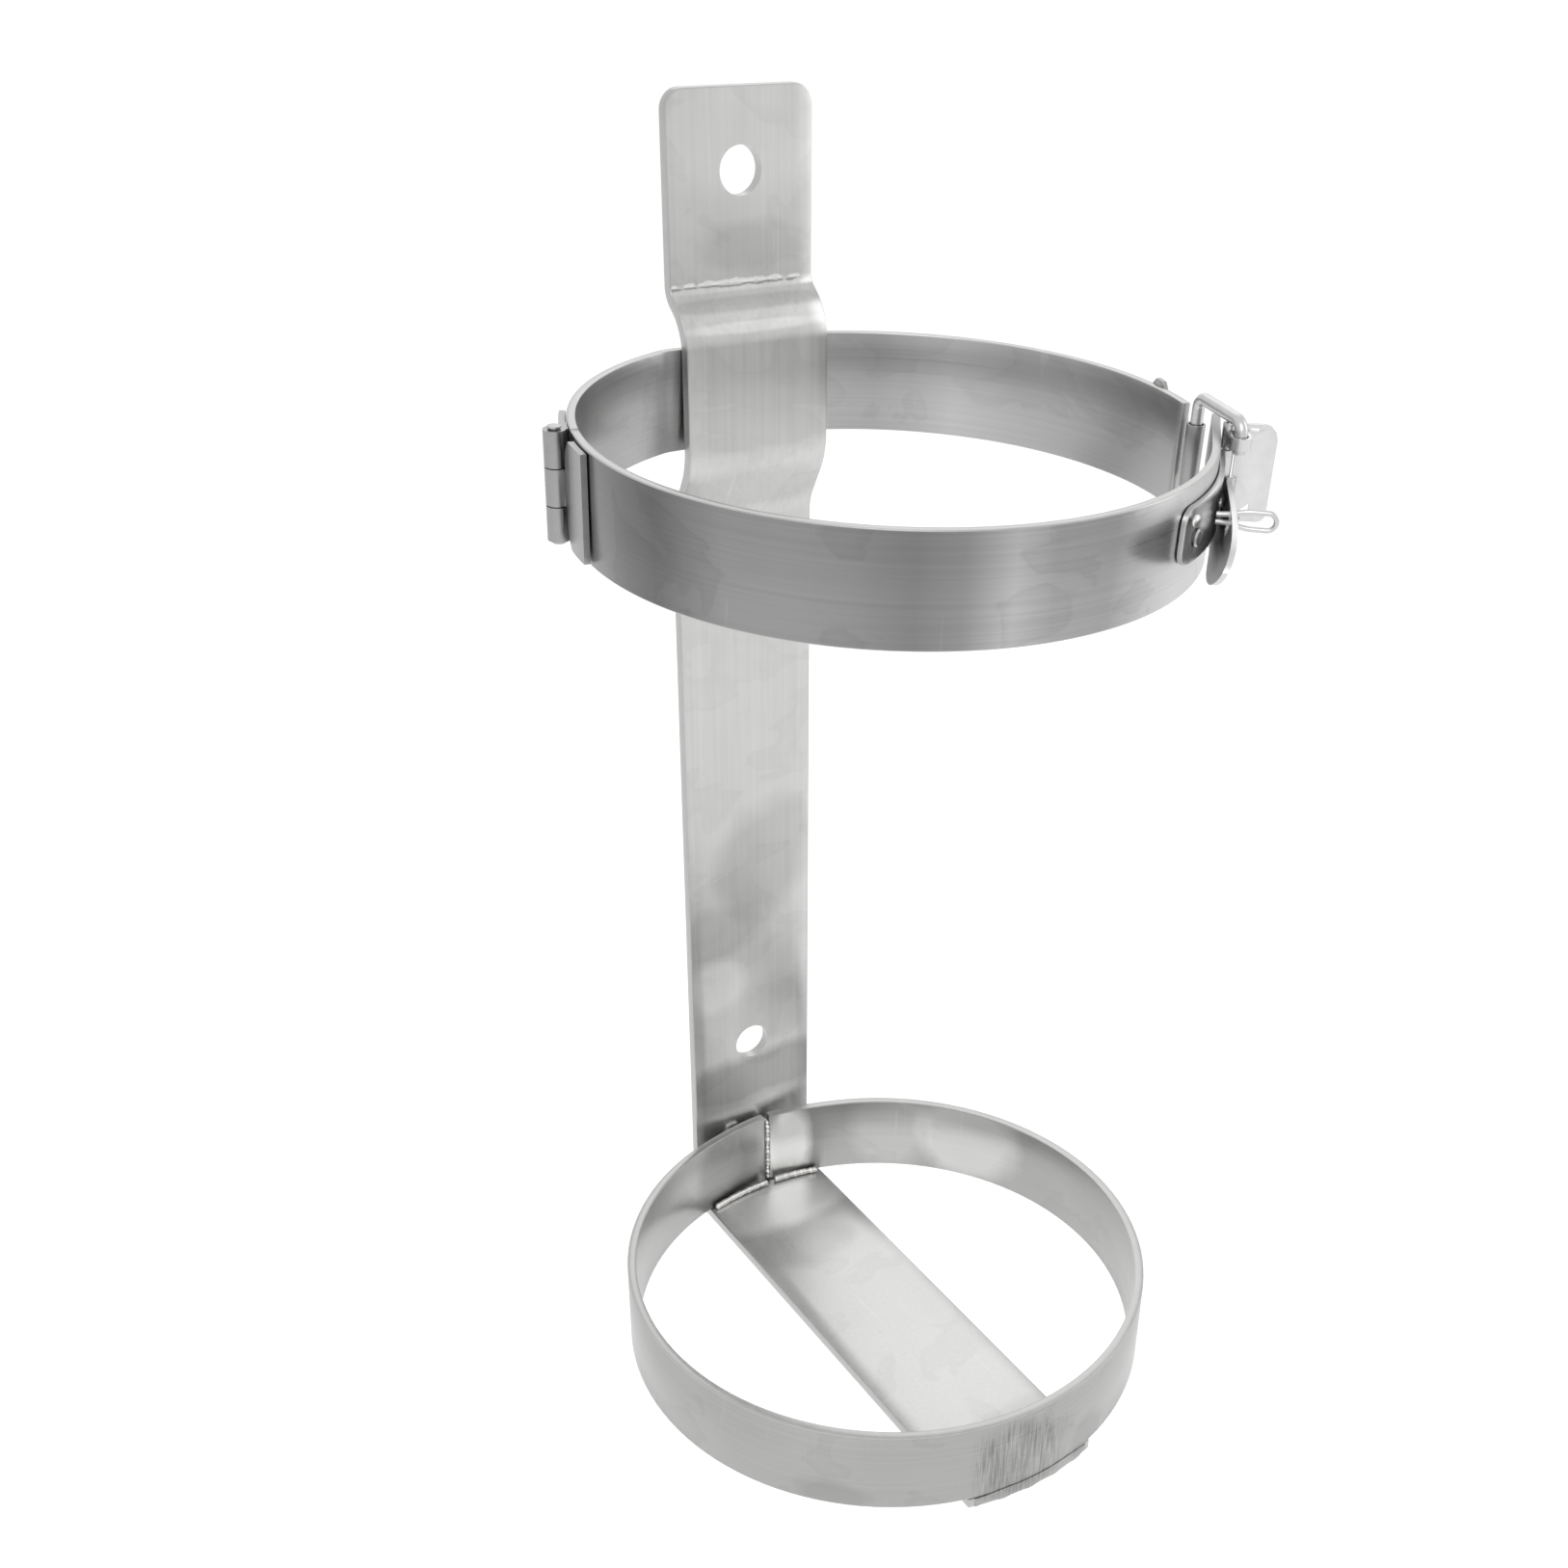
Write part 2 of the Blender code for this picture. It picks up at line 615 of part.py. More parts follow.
def latch_base():
    axis = lever_axis()
    r0 = BAND_R + SEAT
    z0, z1 = BASE_Z
    k0, k1 = KNUCKLE_Z
    run = PIVOT_ALONG + deg(TAN_ANG - BASE_NEAR) * (r0 + SHEET / 2.0)
    neck = KNUCKLE_R + KNUCKLE_CLEAR + 0.2 * MM
    turn = 3.4 * MM
    pts = [(-0.3 * MM, k0), (neck, k0), (neck + 0.9 * MM, z0), (run - turn, z0)]
    pts += [(run - turn + turn * math.sin(deg(a)), z0 + turn - turn * math.cos(deg(a)))
            for a in (22, 45, 68, 90)]
    pts += [(run - turn + turn * math.cos(deg(a)), z1 - turn + turn * math.sin(deg(a)))
            for a in (0, 22, 45, 68)]
    pts += [(run - turn, z1), (neck + 0.9 * MM, z1), (neck, k1), (-0.3 * MM, k1)]
    ob = rolled_plate("latch_base_plate", pts, back_from_pivot(SHEET), SHEET, None, 26)
    combine(ob, tube("base_roll", KNUCKLE_R, k0 + 0.05 * MM, k1 - 0.05 * MM, axis), "UNION")
    combine(ob, tube("base_bore", LEVER_PIN_R + RUN, -10 * MM, 40 * MM, axis, 16), "DIFFERENCE")
    for a, z in RIVETS:
        cut = cylinder("cut_base_%d" % int(-a), RIVET_R + RUN, 12.0 * MM, 16, CUTTERS)
        aim_out(cut, a, BAND_R, z)
        combine(ob, cut, "DIFFERENCE")
    edge_bevel(ob, 0.2 * MM, 1, 60.0)
    hang(ob, hinge_axis())
    finish(ob, (0.30, 0.30, 0.30), 0.36)
    # rivets through base plate and band
    for i, (a, z) in enumerate(RIVETS):
        grip_out = BAND_R + SEAT + SHEET + SEAT
        grip_in = BAND_R - BAND_T - SEAT
        prof = [(0.0, grip_out + 0.8 * MM), (1.1 * MM, grip_out + 0.7 * MM), (1.7 * MM, grip_out + 0.45 * MM),
                (RIVET_HEAD_R, grip_out), (RIVET_R, grip_out), (RIVET_R, grip_in),
                (RIVET_HEAD_R, grip_in), (RIVET_HEAD_R - 0.3 * MM, grip_in - 0.5 * MM),
                (0.0, grip_in - 0.6 * MM)]
        prof = [(r, h - BAND_R) for r, h in prof]
        riv = lathe("base_rivet_%d" % (i + 1), prof, 16)
        aim_out(riv, a, BAND_R, z)
        hang(riv, hinge_axis())
        finish(riv, (0.40, 0.40, 0.40), 0.35)
    # tack of weld at the near end of the base plate
    bm = bmesh.new()
    bmesh.ops.create_uvsphere(bm, u_segments=12, v_segments=8, radius=1.0)
    bmesh.ops.scale(bm, vec=Vector((1.7, 1.3, 0.7)) * MM, verts=bm.verts[:])
    tack = new_object("base_tack_weld", mesh_from("base_tack_weld", bm))
    aim_out(tack, BASE_NEAR + 1.9, r0 + SHEET + SEAT + 0.7 * MM, z1 - 2.4 * MM)
    hang(tack, hinge_axis())
    finish(tack, (0.7, 0.7, 0.68), 0.4, 60.0)


def staple():
    out = polar(STAPLE_AZ, 1.0)
    root = polar(STAPLE_ANG, BAND_R + SEAT + SHEET + SEAT)
    # the wire starts clear of the plate along its own slanting line
    lift = STAPLE_WIRE_R * 0.35 + 0.05 * MM
    root = root + out * lift
    up = Vector((0.0, 0.0, 1.0))
    reach = STAPLE_L - STAPLE_WIRE_R - STAPLE_HALF
    # one leg swells from the narrow neck to the width of the ring
    leg = [(0.0, STAPLE_NECK), (2.0 * MM, STAPLE_NECK)]
    for k in range(1, 7):
        t = k / 6.0
        ease = t * t * (3.0 - 2.0 * t)
        leg.append((2.0 * MM + 4.4 * MM * t, STAPLE_NECK + (STAPLE_HALF - STAPLE_NECK) * ease))
    leg.append((reach, STAPLE_HALF))
    for k in range(1, 6):
        t = math.pi * k / 10.0
        leg.append((reach + STAPLE_HALF * math.sin(t), STAPLE_HALF * math.cos(t)))
    both = leg + [(s, -h) for s, h in reversed(leg[:-1])]
    pts = [root + out * s + up * (STAPLE_Z + h) for s, h in both]
    ob = wire("safety_staple", pts, STAPLE_WIRE_R, None, 2)
    hang(ob, hinge_axis())
    finish(ob, (0.55, 0.55, 0.55), 0.3, 60.0)


def wall(name, origin, az, outline, thick, offset=0.0, col=None):
    # upright flat piece: outline x runs along az from origin, y is height
    ob = flat_outline(name, outline, thick, col)
    d = polar(az, 1.0)
    n = d.cross(Vector((0.0, 0.0, 1.0)))
    loc = origin + n * offset
    set_basis(ob, loc, d, Vector((0.0, 0.0, 1.0)), n)
    return ob


def lever():
    axis = lever_axis()
    z0, z1 = LEVER_Z
    b0, b1 = KNUCKLE_Z[0] - KNUCKLE_CLEAR, KNUCKLE_Z[1] + KNUCKLE_CLEAR
    clear = KNUCKLE_R + KNUCKLE_CLEAR
    near = 0.8 * MM
    r, rl = 3.4 * MM, 2.0 * MM
    # thumb plate standing out from the pivot
    plate = [(near, z0), (PLATE_OUT - rl, z0)]
    plate += [(PLATE_OUT - rl + rl * math.sin(deg(a)), z0 + rl - rl * math.cos(deg(a))) for a in (30, 60, 90)]
    plate += [(PLATE_OUT - r + r * math.cos(deg(a)), z1 - r + r * math.sin(deg(a))) for a in (0, 30, 60, 90)]
    plate += [(near, z1), (near, b1), (clear, b1), (clear, b0), (near, b0)]
    ob = wall("latch_lever", axis, PLATE_AZ, plate, SHEET)
    # tongue lying over the base plate, tapered to its rounded end toward the front
    combine(ob, tongue_arm(axis, clear), "UNION")
    # bend that carries the tongue round the knuckle into the thumb plate
    s0, s1 = TONGUE_ROOT
    mid = clear + SHEET / 2.0
    line = [axis + polar(TONGUE_AZ - 2.0 + (PLATE_AZ + 2.0 - TONGUE_AZ + 2.0) * k / 8.0, mid, s0 + 0.05 * MM)
            for k in range(9)]
    bend = sheet("lever_bend", line, Vector((0.0, 0.0, s1 - s0 - 0.1 * MM)), SHEET, 0.0, 0.0, CUTTERS)
    combine(ob, bend, "UNION")
    for i, (k0, k1) in enumerate(((z0 + 0.05 * MM, b0), (b1, z1 - 0.05 * MM))):
        combine(ob, tube("lever_roll_%d" % i, KNUCKLE_R, k0, k1, axis), "UNION")
    bail_eyes(ob, axis)
    combine(ob, tube("lever_bore", LEVER_PIN_R + RUN, -10 * MM, 40 * MM, axis, 16), "DIFFERENCE")
    combine(ob, tube("eye_bore", WIRE_R + RUN, -10 * MM, 40 * MM, bail_axis(), 20), "DIFFERENCE")
    # slot that drops over the staple
    d = polar(TONGUE_AZ, 1.0)
    n = Vector((0.0, 0.0, 1.0)).cross(d)
    high = 2.0 * (STAPLE_HALF + STAPLE_WIRE_R) + 1.0 * MM
    slot = block("staple_slot", (5.0 * MM, 14.0 * MM, high), CUTTERS)
    set_basis(slot, staple_crossing() + d * 0.9 * MM, d, n, Vector((0.0, 0.0, 1.0)))
    combine(ob, slot, "DIFFERENCE")
    # relief slot beside the upper eye and slanting window near the foot of the plate
    for nm, shape in (("relief", [(4.7, 24.4), (6.8, 24.4), (6.8, 25.1), (4.7, 25.1)]),
                      ("window", [(5.0, 4.9), (6.9, 5.9), (6.9, 7.9), (5.0, 6.3)])):
        pts = [(x * MM, y * MM) for x, y in shape]
        combine(ob, wall(nm, axis, PLATE_AZ, pts, 4.0 * MM, 0.0, CUTTERS), "DIFFERENCE")
    edge_bevel(ob, 0.15 * MM, 1, 60.0)
    hang(ob, axis)
    finish(ob, (0.60, 0.60, 0.60), 0.32)
    head = LEVER_PIN_R + 0.5 * MM
    pin = lathe("lever_pin", [(0.0, z1 - 0.2 * MM), (LEVER_PIN_R - 0.2 * MM, z1 - 0.2 * MM),
                              (LEVER_PIN_R, z1 - 0.4 * MM), (LEVER_PIN_R, z0 - 0.3 * MM),
                              (head, z0 - 0.3 * MM), (head - 0.2 * MM, z0 - 0.7 * MM), (0.0, z0 - 0.8 * MM)], 16)
    pin.location = axis
    hang(pin, hinge_axis())
    finish(pin, (0.55, 0.55, 0.55), 0.3)


def tongue_arm(axis, clear):
    # long leaf: its top rim climbs from the root, and its end narrows to a round
    s0, s1 = TONGUE_ROOT
    t0, t1 = TONGUE_Z
    cx, cz = TONGUE_L - TONGUE_TAPER, (t0 + t1) / 2.0
    half = (t1 - t0) / 2.0
    start = clear + 0.1 * MM
    shape = [(start, s0), (9.5 * MM, s0), (14.0 * MM, t0)]
    shape += [(cx + TONGUE_TAPER * math.sin(deg(a)), cz - half * math.cos(deg(a))) for a in range(0, 181, 12)]
    shape += [(18.0 * MM, t1), (10.0 * MM, s1 + 0.62 * (t1 - s1)), (start, s1)]
    arm = wall("lever_tongue", axis, TONGUE_AZ, shape, SHEET, -0.6 * MM, CUTTERS)
    bm = bmesh.new()
    bm.from_mesh(arm.data)
    for k in range(1, 14):
        x = start + (TONGUE_L - start) * k / 14.0
        bmesh.ops.bisect_plane(bm, geom=bm.verts[:] + bm.edges[:] + bm.faces[:], plane_co=(x, 0.0, 0.0),
                               plane_no=(1.0, 0.0, 0.0), dist=1e-7)
    for k in (-2, -1, 0, 1, 2):
        bmesh.ops.bisect_plane(bm, geom=bm.verts[:] + bm.edges[:] + bm.faces[:],
                               plane_co=(0.0, cz + half * k / 3.0, 0.0), plane_no=(0.0, 1.0, 0.0), dist=1e-7)
    # bowed to the band, leaning out at the top, and pressed hollow on the side of the band
    for v in bm.verts:
        s = v.co.x / TONGUE_L
        up = (v.co.y - cz) / half
        grow = min(1.0, max(0.0, (v.co.x - 8.0 * MM) / (10.0 * MM)))
        end = max(0.0, (v.co.x - cx) / TONGUE_TAPER)
        v.co.z += TONGUE_BOW * s * s - TONGUE_LEAN * s * up
        v.co.z += TONGUE_DISH * grow * (min(1.0, up * up + 0.6 * end * end) - 0.35)
    bmesh.ops.recalc_face_normals(bm, faces=bm.faces[:])
    bm.to_mesh(arm.data)
    bm.free()
    return arm


def bail_eyes(ob, axis):
    # two sheet loops bent forward from the thumb plate round the ends of the wire
    eye = bail_axis() - axis
    along = polar(PLATE_AZ, 1.0)
    front = polar(PLATE_AZ - 90.0, 1.0)
    s, reach = eye.dot(along), eye.dot(front)
    up = Vector((0.0, 0.0, 1.0))
    for i, (k0, k1) in enumerate((EYE_LOW_Z, EYE_TOP_Z)):
        tall, zc = k1 - k0, (k0 + k1) / 2.0
        combine(ob, tube("eye_round_%d" % i, BAIL_EYE_R, k0, k1, bail_axis()), "UNION")
        solid = block("eye_block_%d" % i, (2.0 * BAIL_EYE_R, reach, tall), CUTTERS)
        set_basis(solid, axis + along * s + front * (reach / 2.0) + up * zc, along, front, along.cross(front))
        combine(ob, solid, "UNION")
        hollow = block("eye_hollow_%d" % i, (2.0 * (WIRE_R + RUN), reach - 1.9 * MM, tall + 0.4 * MM), CUTTERS)
        set_basis(hollow, axis + along * s + front * ((reach + 1.9 * MM) / 2.0) + up * zc, along, front,
                  along.cross(front))
        combine(ob, hollow, "DIFFERENCE")


def staple_crossing():
    axis = lever_axis()
    d = polar(TONGUE_AZ, 1.0)
    root = polar(STAPLE_ANG, BAND_R + SEAT + SHEET + SEAT)
    s = polar(STAPLE_AZ, 1.0)
    w = root - axis
    det = d.x * (-s.y) - d.y * (-s.x)
    t = (w.x * (-s.y) - w.y * (-s.x)) / det
    return axis + d * t + Vector((0.0, 0.0, STAPLE_Z))


def bail():
    z0, z1 = BAIL_Z
    a, b = bail_axis(), bail_tip()
    up = Vector((0.0, 0.0, 1.0))
    pts = [a + up * (EYE_TOP_Z[0] - 1.2 * MM), a + up * z1, b + up * z1, b + up * z0, a + up * z0,
           a + up * (EYE_LOW_Z[1] + 1.2 * MM)]
    r = 2.7 * MM
    path = rounded(pts, [0, r, r, r, r, 0], 5)
    ob = wire("wire_bail", path, WIRE_R, None, 3)
    hang(ob, a)
    finish(ob, (0.62, 0.62, 0.62), 0.25, 60.0)
    r0, r1 = ROLLER_Z
    ri, ro = WIRE_R + RUN, ROLLER_R
    c = 0.12 * MM
    prof = [(ri, r1), (ro - c, r1), (ro, r1 - c), (ro, r0 + c), (ro - c, r0), (ri, r0)]
    rol = lathe("bail_roller", prof, 24, True)
    rol.location = b
    hang(rol, b)
    finish(rol, (0.50, 0.50, 0.50), 0.28)


back_strap()
cradle_ring()
welds()
rear_band()
front_band()
hinge()
strike()
latch_base()
staple()
lever()
bail()

for cutter in CUTTERS.objects:
    cutter.hide_render = True
    cutter.display_type = "WIRE"
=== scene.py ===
# %% [markdown]
# # Wall bracket for a fire extinguisher
# A flat steel bar hangs on the wall, an open ring at its foot carries the cylinder, and a hinged band
# with a toggle latch holds it upright. The solids of the bracket are loaded first as a fixed frame.
# Each sheet, wire and weld is then modelled again with soft edges, and given its brushed finish.

# %% Load the solids
import math

import bmesh
import bpy
from mathutils import Matrix, Vector


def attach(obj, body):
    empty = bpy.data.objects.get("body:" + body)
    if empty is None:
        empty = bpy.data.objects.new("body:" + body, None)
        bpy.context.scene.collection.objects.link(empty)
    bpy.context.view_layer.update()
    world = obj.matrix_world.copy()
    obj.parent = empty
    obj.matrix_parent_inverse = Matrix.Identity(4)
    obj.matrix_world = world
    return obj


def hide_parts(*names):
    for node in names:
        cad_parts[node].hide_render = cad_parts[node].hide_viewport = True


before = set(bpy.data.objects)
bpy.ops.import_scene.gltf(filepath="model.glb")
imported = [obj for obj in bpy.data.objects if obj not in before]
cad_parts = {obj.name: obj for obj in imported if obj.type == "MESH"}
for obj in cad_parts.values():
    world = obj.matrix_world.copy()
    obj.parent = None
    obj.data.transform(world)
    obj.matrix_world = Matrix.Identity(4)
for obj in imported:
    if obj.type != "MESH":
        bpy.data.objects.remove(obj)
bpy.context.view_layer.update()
bpy.ops.object.select_all(action="DESELECT")

# %% [markdown]
# ## Sizes
# Every length is in metres, and a millimetre is written as MM. Angles run round the upright axis: 0 is
# the latch side, 90 the wall and 180 the hinge side. The band has its own frame: the top of its axis
# leans a little away from the wall, because the real band hangs slightly nose down on the bar.

# %% Sizes and the band's own frame
MM = 0.001
BAR_W, BAR_T, BAR_TOP = 40.0 * MM, 3.0 * MM, 323.9 * MM
RING_R, RING_T, RING_H = 73.0 * MM, 2.5 * MM, 24.5 * MM
BAND_R, BAND_T, BAND_H = 72.0 * MM, 2.0 * MM, 25.0 * MM
BAND_X, BAND_Y, BAND_Z, BAND_LEAN = -1.9 * MM, 5.6 * MM, 238.3 * MM, 2.55
BAND_TURN = Matrix.Rotation(math.radians(BAND_LEAN), 4, "X")
BAND_PLACE = Matrix.Translation(Vector((BAND_X, BAND_Y, BAND_Z))) @ BAND_TURN
HINGE_ANG, TIP_ANG = 163.0, -42.0


def around(angle, radius, height=0.0):
    a = math.radians(angle)
    return Vector((radius * math.cos(a), radius * math.sin(a), height))


print("band leans", round(math.degrees(BAND_PLACE.to_euler().x), 2), "degrees")

# %% [markdown]
# ## Picking and starting a piece
# Modelling by hand means taking a piece, picking some of its points and then using a tool on them.
# `pick` does the picking by place. `first_edge` starts a sheet as one straight edge, which is then drawn
# out or spun. `settle` adds a modifier and applies it at once.

# %% Take a piece, pick points, start an edge, settle a modifier


def take(ob):
    bpy.ops.object.select_all(action="DESELECT")
    ob.select_set(True)
    bpy.context.view_layer.objects.active = ob


def pick(ob, test):
    bm = bmesh.from_edit_mesh(ob.data)
    for v in bm.verts:
        v.select = bool(test(v.co))
    bm.select_flush_mode()
    bmesh.update_edit_mesh(ob.data)


def first_edge(name, a, b):
    bpy.ops.object.select_all(action="DESELECT")
    bpy.ops.mesh.primitive_plane_add(size=1.0)
    ob = bpy.context.object
    ob.name = name
    bpy.ops.object.mode_set(mode="EDIT")
    bpy.ops.mesh.select_mode(type="VERT")
    pick(ob, lambda p: p.y > 0.0)
    bpy.ops.mesh.delete(type="VERT")
    bm = bmesh.from_edit_mesh(ob.data)
    ends = sorted(bm.verts, key=lambda v: v.co.x)
    ends[0].co, ends[1].co = a, b
    bmesh.update_edit_mesh(ob.data)
    bpy.ops.mesh.select_all(action="SELECT")
    return ob


def settle(ob, kind, **settings):
    take(ob)
    bpy.ops.object.modifier_add(type=kind)
    mod = ob.modifiers[-1]
    for key, value in settings.items():
        setattr(mod, key, value)
    bpy.ops.object.modifier_apply(modifier=mod.name)


print("tools", [tool.__name__ for tool in (take, pick, first_edge, settle)])

# %% [markdown]
# ## Node steps
# A finish is a sum of greys. Each step adds a node to the material and hands back its output, so that a
# recipe reads like a calculation. `plus` adds a share of one grey to another, and `spot` makes a soft
# patch with a ragged rim at one place.

# %% Steps for building a material


def maths(nt, how, a, b):
    node = nt.nodes.new("ShaderNodeMath")
    node.operation = how
    for socket, value in zip(node.inputs, (a, b)):
        if isinstance(value, (int, float)):
            socket.default_value = value
        else:
            nt.links.new(value, socket)
    return node.outputs[0]


def plus(nt, level, part, share):
    return maths(nt, "ADD", level, maths(nt, "MULTIPLY", part, share))


def vectors(nt, how, a, b):
    node = nt.nodes.new("ShaderNodeVectorMath")
    node.operation = how
    nt.links.new(a, node.inputs[0])
    node.inputs[1].default_value = b
    return node.outputs


def mapped(nt, place, scale, rotation=(0.0, 0.0, 0.0)):
    node = nt.nodes.new("ShaderNodeMapping")
    node.inputs["Scale"].default_value = scale
    node.inputs["Rotation"].default_value = rotation
    nt.links.new(place, node.inputs["Vector"])
    return node.outputs[0]


def noise(nt, place, detail, distortion=0.0):
    node = nt.nodes.new("ShaderNodeTexNoise")
    node.inputs["Scale"].default_value = 1.0
    node.inputs["Detail"].default_value = detail
    node.inputs["Distortion"].default_value = distortion
    nt.links.new(place, node.inputs["Vector"])
    return node.outputs["Fac"]


def ramp(nt, value, stops):
    node = nt.nodes.new("ShaderNodeValToRGB")
    marks = node.color_ramp.elements
    while len(marks) < len(stops):
        marks.new(0.5)
    for i, (place, level) in enumerate(stops):
        marks[i].position, marks[i].color = place, (level, level, level, 1.0)
    nt.links.new(value, node.inputs["Fac"])
    return node.outputs["Color"]


def spot(nt, place, centre, reach, ragged, rim_size):
    off = vectors(nt, "SUBTRACT", place, tuple(c * MM for c in centre))[0]
    off = vectors(nt, "MULTIPLY", off, tuple(1.0 / (r * MM) for r in reach))[0]
    far = vectors(nt, "LENGTH", off, (0.0, 0.0, 0.0))["Value"]
    rim = maths(nt, "SUBTRACT", noise(nt, mapped(nt, place, (rim_size,) * 3), 5.0), 0.5)
    half_far = maths(nt, "MULTIPLY", plus(nt, far, rim, ragged), 0.5)
    return ramp(nt, half_far, [(0.36, 1.0), (0.56, 0.0)])


print("node steps", [step.__name__ for step in (maths, plus, vectors, mapped, noise, ramp, spot)])

# %% [markdown]
# ## Brushed steel
# Stainless bar and sheet come with a fine grain from the mill. Long thin streaks of lighter and darker
# metal follow that grain, softer clouds come from handling, stains dry with a sharp rim, and a few
# scratches cross it. A noise squeezed across the grain gives the streaks and a plain one the clouds.
# Upright stripes of painted reflection go round the band by angle, and a spot lightens or darkens one place:
# most spots are painted light or shade, a few are marks.

# %% One recipe for all the steel
CLOUD_SIZE = 30.0
SCRATCH_GRAIN, SCRATCH_TURN, SCRATCH_LIGHT = (900.0, 18.0, 30.0), (0.5, 0.4, 0.9), 0.10
STAIN_SIZE, STAIN_RIM = (42.0, 42.0, 60.0), [(0.54, 0.0), (0.56, 1.0), (0.66, 0.35), (0.8, 0.5)]
CUT_GRAIN, CUT_TURN, CUT_LEVEL, CUT_SHARE = (2400.0, 800.0, 110.0), (0.0, 0.12, 0.0), -0.86, 1.35
RELIEF_DEPTH = 0.2 * MM


# Painted reflection: light and dark upright stripes, set by the angle round the band's axis.
def stripes(nt, place, reflection_stripes):
    out = vectors(nt, "SUBTRACT", place, (BAND_X, BAND_Y, 0.0))[0]
    apart = nt.nodes.new("ShaderNodeSeparateXYZ")
    nt.links.new(out, apart.inputs[0])
    turn = maths(nt, "ARCTAN2", apart.outputs["Y"], apart.outputs["X"])
    turn = plus(nt, 0.5, turn, 0.5 / math.pi)
    stops = [(0.5 + angle / 360.0, 0.5 * level) for angle, level in reflection_stripes]
    return maths(nt, "MULTIPLY", ramp(nt, turn, stops), 2.0)


def steel(name, tone, rough, grain, streak=0.10, cloud=0.10, tall=1.0, bump=0.06, stain=0.0, lean=0.0,
          reflection_stripes=(), spots=(), ground=None):
    mat = bpy.data.materials.new(name)
    mat.use_nodes = True
    nt = mat.node_tree
    shader = nt.nodes["Principled BSDF"].inputs
    shader["Metallic"].default_value = 1.0
    place = nt.nodes.new("ShaderNodeTexCoord").outputs["Object"]

    leaned = mapped(nt, place, (1.0, 1.0, 1.0), (math.radians(lean), 0.0, 0.0))
    lines = noise(nt, mapped(nt, leaned, grain), 5.0)
    clouds = noise(nt, mapped(nt, place, (CLOUD_SIZE, CLOUD_SIZE, CLOUD_SIZE * tall)), 4.0, 0.6)
    light = plus(nt, 1.0 - streak - cloud / 2.0, lines, 2.0 * streak)
    light = plus(nt, light, clouds, cloud)
    marks = noise(nt, mapped(nt, place, SCRATCH_GRAIN, SCRATCH_TURN), 2.0)
    light = plus(nt, light, ramp(nt, marks, [(0.70, 0.0), (0.76, 1.0)]), SCRATCH_LIGHT)
    if stain:
        dried = ramp(nt, noise(nt, mapped(nt, place, STAIN_SIZE), 3.0, 0.8), STAIN_RIM)
        light = plus(nt, light, dried, -stain)
    # The band's stripes of painted reflection, then spots of painted light and shade or of marks.
    if reflection_stripes:
        light = maths(nt, "MULTIPLY", light, stripes(nt, place, reflection_stripes))
    for centre, reach, change, ragged, rim_size in spots:
        light = plus(nt, light, spot(nt, place, centre, reach, ragged, rim_size), change)
    if ground:
        cuts = plus(nt, CUT_LEVEL, noise(nt, mapped(nt, place, CUT_GRAIN, CUT_TURN), 4.0), CUT_SHARE)
        light = plus(nt, light, spot(nt, place, *ground), cuts)

    colour = nt.nodes.new("ShaderNodeVectorMath")
    colour.operation = "SCALE"
    colour.inputs[0].default_value = tone
    nt.links.new(light, colour.inputs["Scale"])
    nt.links.new(colour.outputs[0], shader["Base Color"])
    dull = plus(nt, plus(nt, rough - 0.09, lines, 0.12), clouds, 0.06)
    nt.links.new(dull, shader["Roughness"])
    relief = nt.nodes.new("ShaderNodeBump")
    relief.inputs["Strength"].default_value = bump
    relief.inputs["Distance"].default_value = RELIEF_DEPTH
    nt.links.new(lines, relief.inputs["Height"])
    nt.links.new(relief.outputs[0], shader["Normal"])
    return mat


print("recipe ready, clouds", CLOUD_SIZE, "a metre, scratches lighter by", SCRATCH_LIGHT)

# %% [markdown]
# ## The finishes
# The bar's painted shade just above the ring with a painted highlight below it, lighter and darker
# patches on the bar, painted shade and highlights round the joggle, a painted highlight on the bar's foot,
# the cracked line along its first fold, painted highlights and darker patches on the ring and the ground
# front of the ring are spots. Each spot has its centre and reach in millimetres, its change of brightness,
# how ragged it is and how fine its rim is. The bands carry soft upright stripes of painted reflection.

# %% Mix the finishes
# Painted shade on the bar just above the ring, where the ring is reflected, and a painted highlight lower
# down by the ring.
BAR_SHADE_AND_LIGHT_BY_RING = [((5, 75.5, 42), (34, 2.6, 10), -0.36, 0.7, 60.0),
             ((-8, 75.5, 19), (22, 2.6, 12), 0.5, 0.5, 60.0)]
# Lighter and darker patches at set places on the bar.
BAR_PATCHES = [((4, 75.5, 118), (17, 2.6, 20), -0.18, 0.9, 45.0),
              ((-12, 75.5, 96), (16, 2.6, 10), -0.12, 0.9, 60.0),
              ((8, 75.5, 64), (14, 2.6, 12), -0.12, 1.1, 70.0),
              ((-11, 75.5, 78), (11, 2.6, 10), 0.18, 0.6, 60.0)]
# Painted shade and painted highlights round the joggle and on the tab above it: darker on the slopes and
# below the folds, lighter along the upper fold.
JOGGLE_SHADE_AND_LIGHT = [((0, 67.6, 250), (30, 2.6, 14), -0.08, 0.6, 60.0), ((0, 72, 229), (30, 6, 8), -0.1, 0.6, 60.0),
          ((2, 75.5, 288), (16, 2.6, 6), -0.12, 0.9, 120.0), ((0, 75.5, 312), (30, 2.6, 12), 0.06, 0.6, 50.0),
          ((0, 71, 275.5), (30, 5, 1.8), -0.16, 0.3, 60.0),
          ((0, 67.8, 270.5), (24, 2.6, 1.6), 0.22, 0.5, 80.0)]
